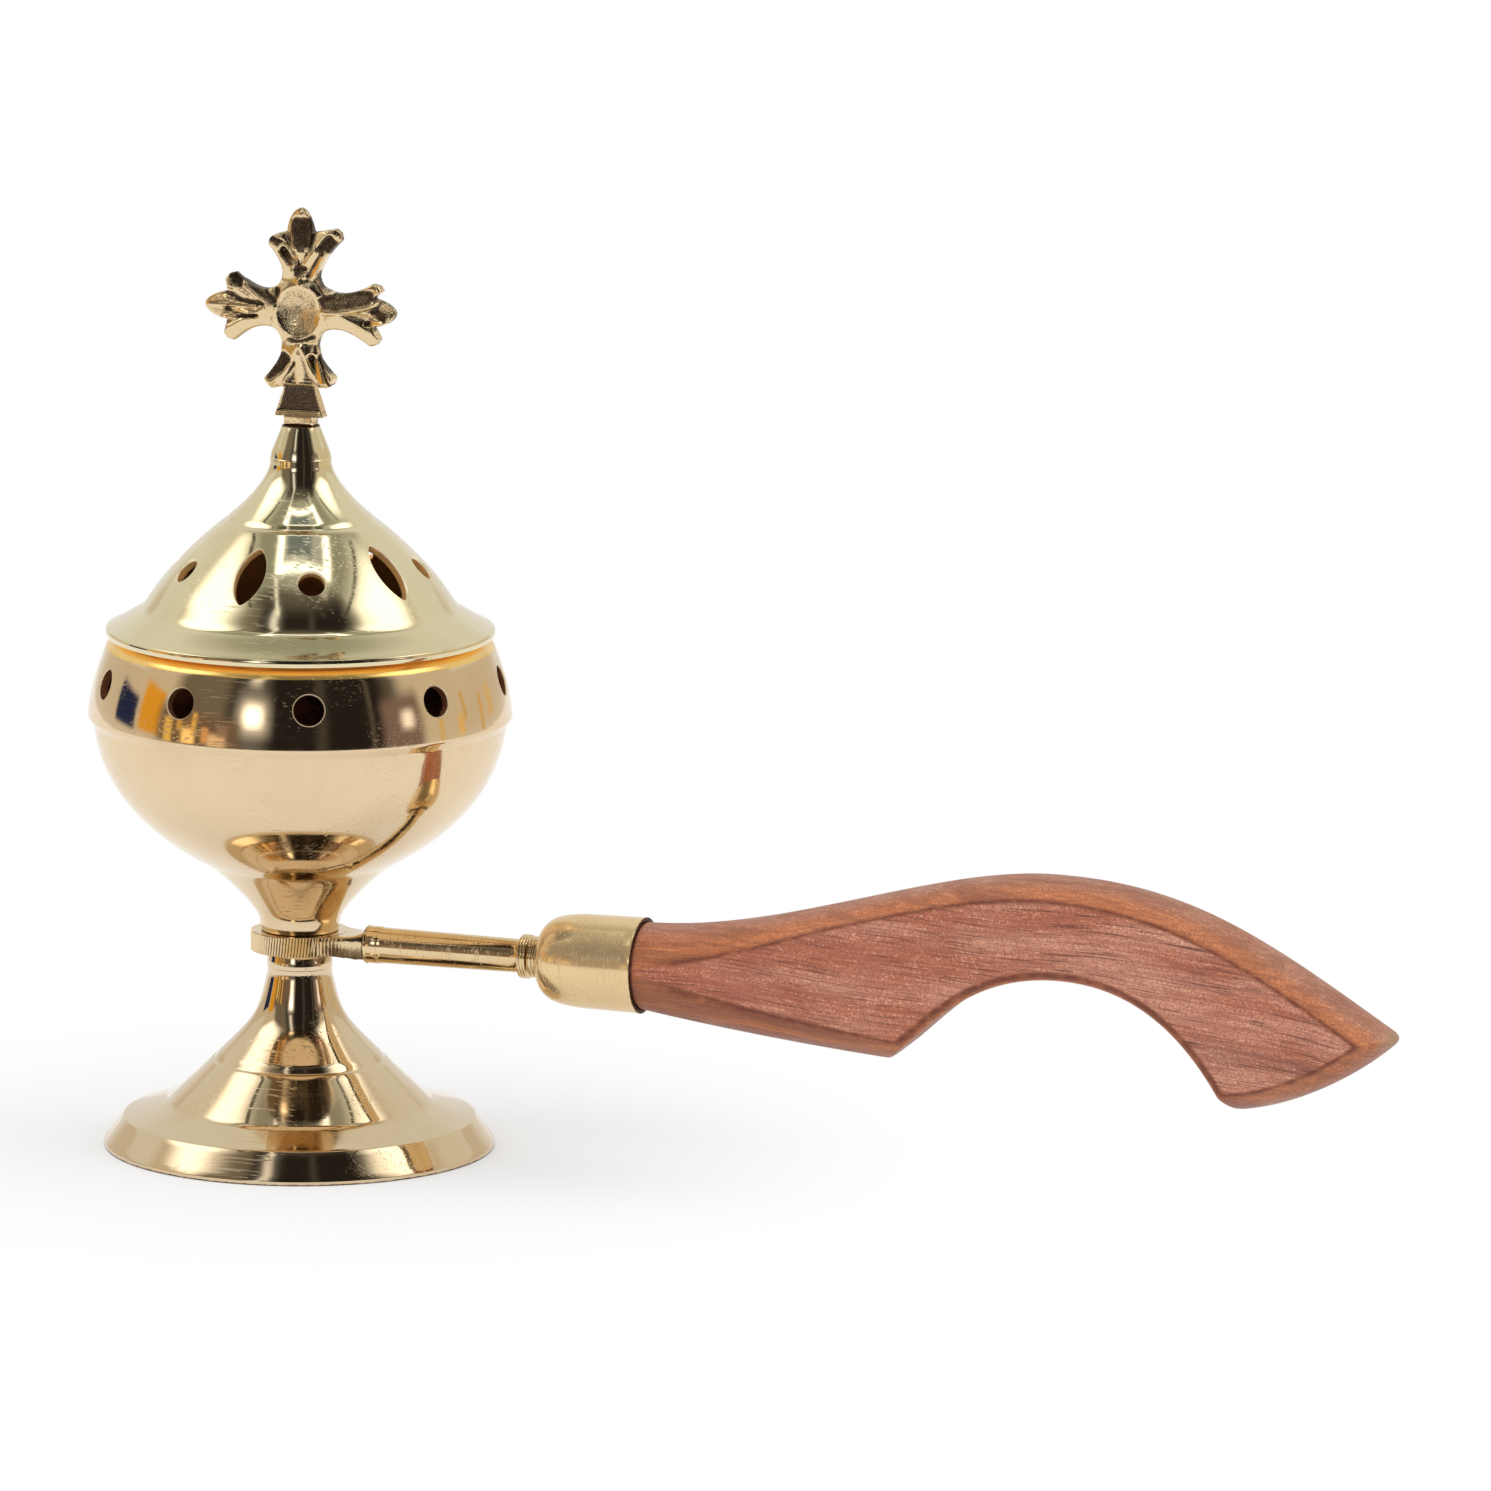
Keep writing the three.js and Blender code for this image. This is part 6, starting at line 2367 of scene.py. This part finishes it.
    def build_room(self) -> None:
        """A dome that only the metal sees, painted with the studio round the camera."""
        Bench.clear()
        centre = (mm(self.layout.vessel_x), 0, self.room_height)
        bpy.ops.mesh.primitive_uv_sphere_add(
            segments=96, ring_count=48, radius=self.room_radius, location=centre
        )
        room = bpy.context.object
        room.name = "reflected_room"
        room.visible_camera = False
        room.visible_diffuse = False
        room.visible_shadow = False
        room.visible_transmission = False
        room.visible_volume_scatter = False
        material = bpy.data.materials.new("room_light")
        material.use_nodes = True
        material.cycles.emission_sampling = "NONE"
        sheet = Sheet(material.node_tree)
        coordinates = sheet.add("ShaderNodeTexCoord").outputs["Object"]
        facing = sheet.shift(coordinates, turn=(0, 0, -self.layout.front))
        split = sheet.add("ShaderNodeSeparateXYZ", {0: facing})
        flat = sheet.add("ShaderNodeCombineXYZ", {0: split.outputs[0], 1: split.outputs[1]})
        reach = sheet.length(flat.outputs[0])
        azimuth = sheet.math("ARCTAN2", split.outputs[1], split.outputs[0])
        azimuth = sheet.math("DEGREES", azimuth)
        elevation = sheet.math("ARCTAN2", split.outputs[2], reach)
        elevation = sheet.math("DEGREES", elevation)
        colour: object = (*self.base, 1)
        for patch in self.patches:
            mask = self.patch_mask(sheet, azimuth, elevation, patch)
            colour = sheet.blend(mask, colour, (*patch.colour, 1))
        rise = sheet.math("MAXIMUM", split.outputs[2], mm(1))
        near = sheet.math("DIVIDE", split.outputs[0], rise)
        right = sheet.math("DIVIDE", split.outputs[1], rise)
        for panel in self.panels:
            mask = self.panel_mask(sheet, right, near, panel)
            colour = sheet.blend(mask, colour, (*panel.colour, 1))
        glow = sheet.add("ShaderNodeEmission", {"Color": colour, "Strength": 1.0})
        sheet.add("ShaderNodeOutputMaterial", {0: glow.outputs[0]})
        room.data.materials.append(material)

    @staticmethod
    def patch_mask(
        sheet: Sheet, azimuth: Socket, elevation: Socket, patch: Patch
    ) -> Socket:
        """1 inside a patch of the room, fading to 0 over its soft edge."""
        away = sheet.math("ABSOLUTE", sheet.math("SUBTRACT", azimuth, patch.azimuth))
        other = sheet.math("SUBTRACT", 360.0, away)
        away = sheet.math("MINIMUM", away, other)
        across = sheet.remap(away, patch.width - patch.soft / 2, patch.width + patch.soft / 2, 1, 0)
        up = sheet.math("ABSOLUTE", sheet.math("SUBTRACT", elevation, patch.elevation))
        tall = sheet.remap(up, patch.height - patch.soft / 2, patch.height + patch.soft / 2, 1, 0)
        return sheet.math("MULTIPLY", across, tall)

    @staticmethod
    def panel_mask(
        sheet: Sheet, right: Socket, near: Socket, panel: Panel
    ) -> Socket:
        """1 inside a panel of the ceiling, fading to 0 over its soft edge."""
        masks = []
        across, along = (right, panel.right, panel.width), (near, panel.near, panel.depth)
        for place, middle, half in (across, along):
            away = sheet.math("ABSOLUTE", sheet.math("SUBTRACT", place, middle))
            masks.append(sheet.remap(away, half - panel.soft / 2, half + panel.soft / 2, 1, 0))
        return sheet.math("MULTIPLY", *masks)

    def build_lamps(self) -> None:
        """Two large side lamps and a soft front fill, which the metal doesn't mirror."""
        centre = Vector((0.02, 0, 0.08))
        for name, azimuth, elevation, distance, size, power in (
            ("left_box", -80, 45, 1.3, 0.8, 4.4),
            ("right_box", 85, 45, 1.3, 0.8, 4.4),
            ("front_fill", -10, 38, 1.6, 1.0, 3.8),
        ):
            bearing = math.radians(self.layout.front + azimuth)
            rise = math.radians(elevation)
            level = math.cos(rise)
            direction = Vector(
                (math.cos(bearing) * level, math.sin(bearing) * level, math.sin(rise))
            )
            lamp = bpy.data.lights.new(name, "AREA")
            lamp.size = size
            lamp.energy = power
            obj = bpy.data.objects.new(name, lamp)
            obj.location = centre + direction * distance
            obj.rotation_euler = direction.to_track_quat("Z", "Y").to_euler()
            obj.visible_glossy = False
            bpy.context.scene.collection.objects.link(obj)

    def build_world(self) -> None:
        """White where it is seen or mirrored, a plain soft light otherwise."""
        world = bpy.data.worlds.new("studio_white")
        world.use_nodes = True
        sheet = Sheet(world.node_tree)
        strength = sheet.math("MULTIPLY_ADD", self.shown(sheet), 0.18, 0.82)
        background = sheet.add("ShaderNodeBackground", {"Color": WHITE, "Strength": strength})
        sheet.add("ShaderNodeOutputWorld", {0: background.outputs[0]})
        bpy.context.scene.world = world
        bpy.context.scene.view_settings.view_transform = "Standard"

    def build_camera(self) -> None:
        """The photograph's camera, from the fitted place, direction and roll."""
        azimuth, elevation, roll = (math.radians(angle) for angle in self.camera_turns)
        target = Vector(self.camera_target)
        back = Vector(
            (
                math.sin(azimuth) * math.cos(elevation),
                -math.cos(azimuth) * math.cos(elevation),
                math.sin(elevation),
            )
        )
        right = (-back).cross(Vector((0, 0, 1))).normalized()
        up = right.cross(-back)
        level_right = right * math.cos(roll) + up * math.sin(roll)
        level_up = up * math.cos(roll) - right * math.sin(roll)
        matrix = Matrix((level_right, level_up, back)).transposed().to_4x4()
        matrix.translation = target + back * self.camera_distance
        lens = bpy.data.cameras.new("photo_camera")
        lens.sensor_fit = "HORIZONTAL"
        lens.sensor_width = self.sensor_width
        lens.lens = self.focal_pixels * self.sensor_width / self.photo_width
        lens.clip_end = 20
        camera = bpy.data.objects.new("photo_camera", lens)
        camera.matrix_world = matrix
        bpy.context.scene.collection.objects.link(camera)
        bpy.context.scene.camera = camera


def main() -> None:
    """Builds and dresses every sub-assembly, then the studio."""
    logging.basicConfig(level=logging.INFO, format="%(message)s")
    layout = Layout.from_frame()
    bench = Bench(layout)
    effects = Effects()
    foot = Foot(bench, effects)
    foot.build()
    foot.dress_fasteners()
    bowl = Bowl(bench, effects)
    bowl.build()
    bowl.build_pan()
    Lid(bench, effects).build()
    CrossFinial(bench, effects).build()
    handle = Handle(bench, effects)
    handle.build_eye()
    handle.build_rod()
    handle.build_ferrule()
    Grip(bench, effects).build()
    Studio(layout).build()


if __name__ == "__main__":
    main()
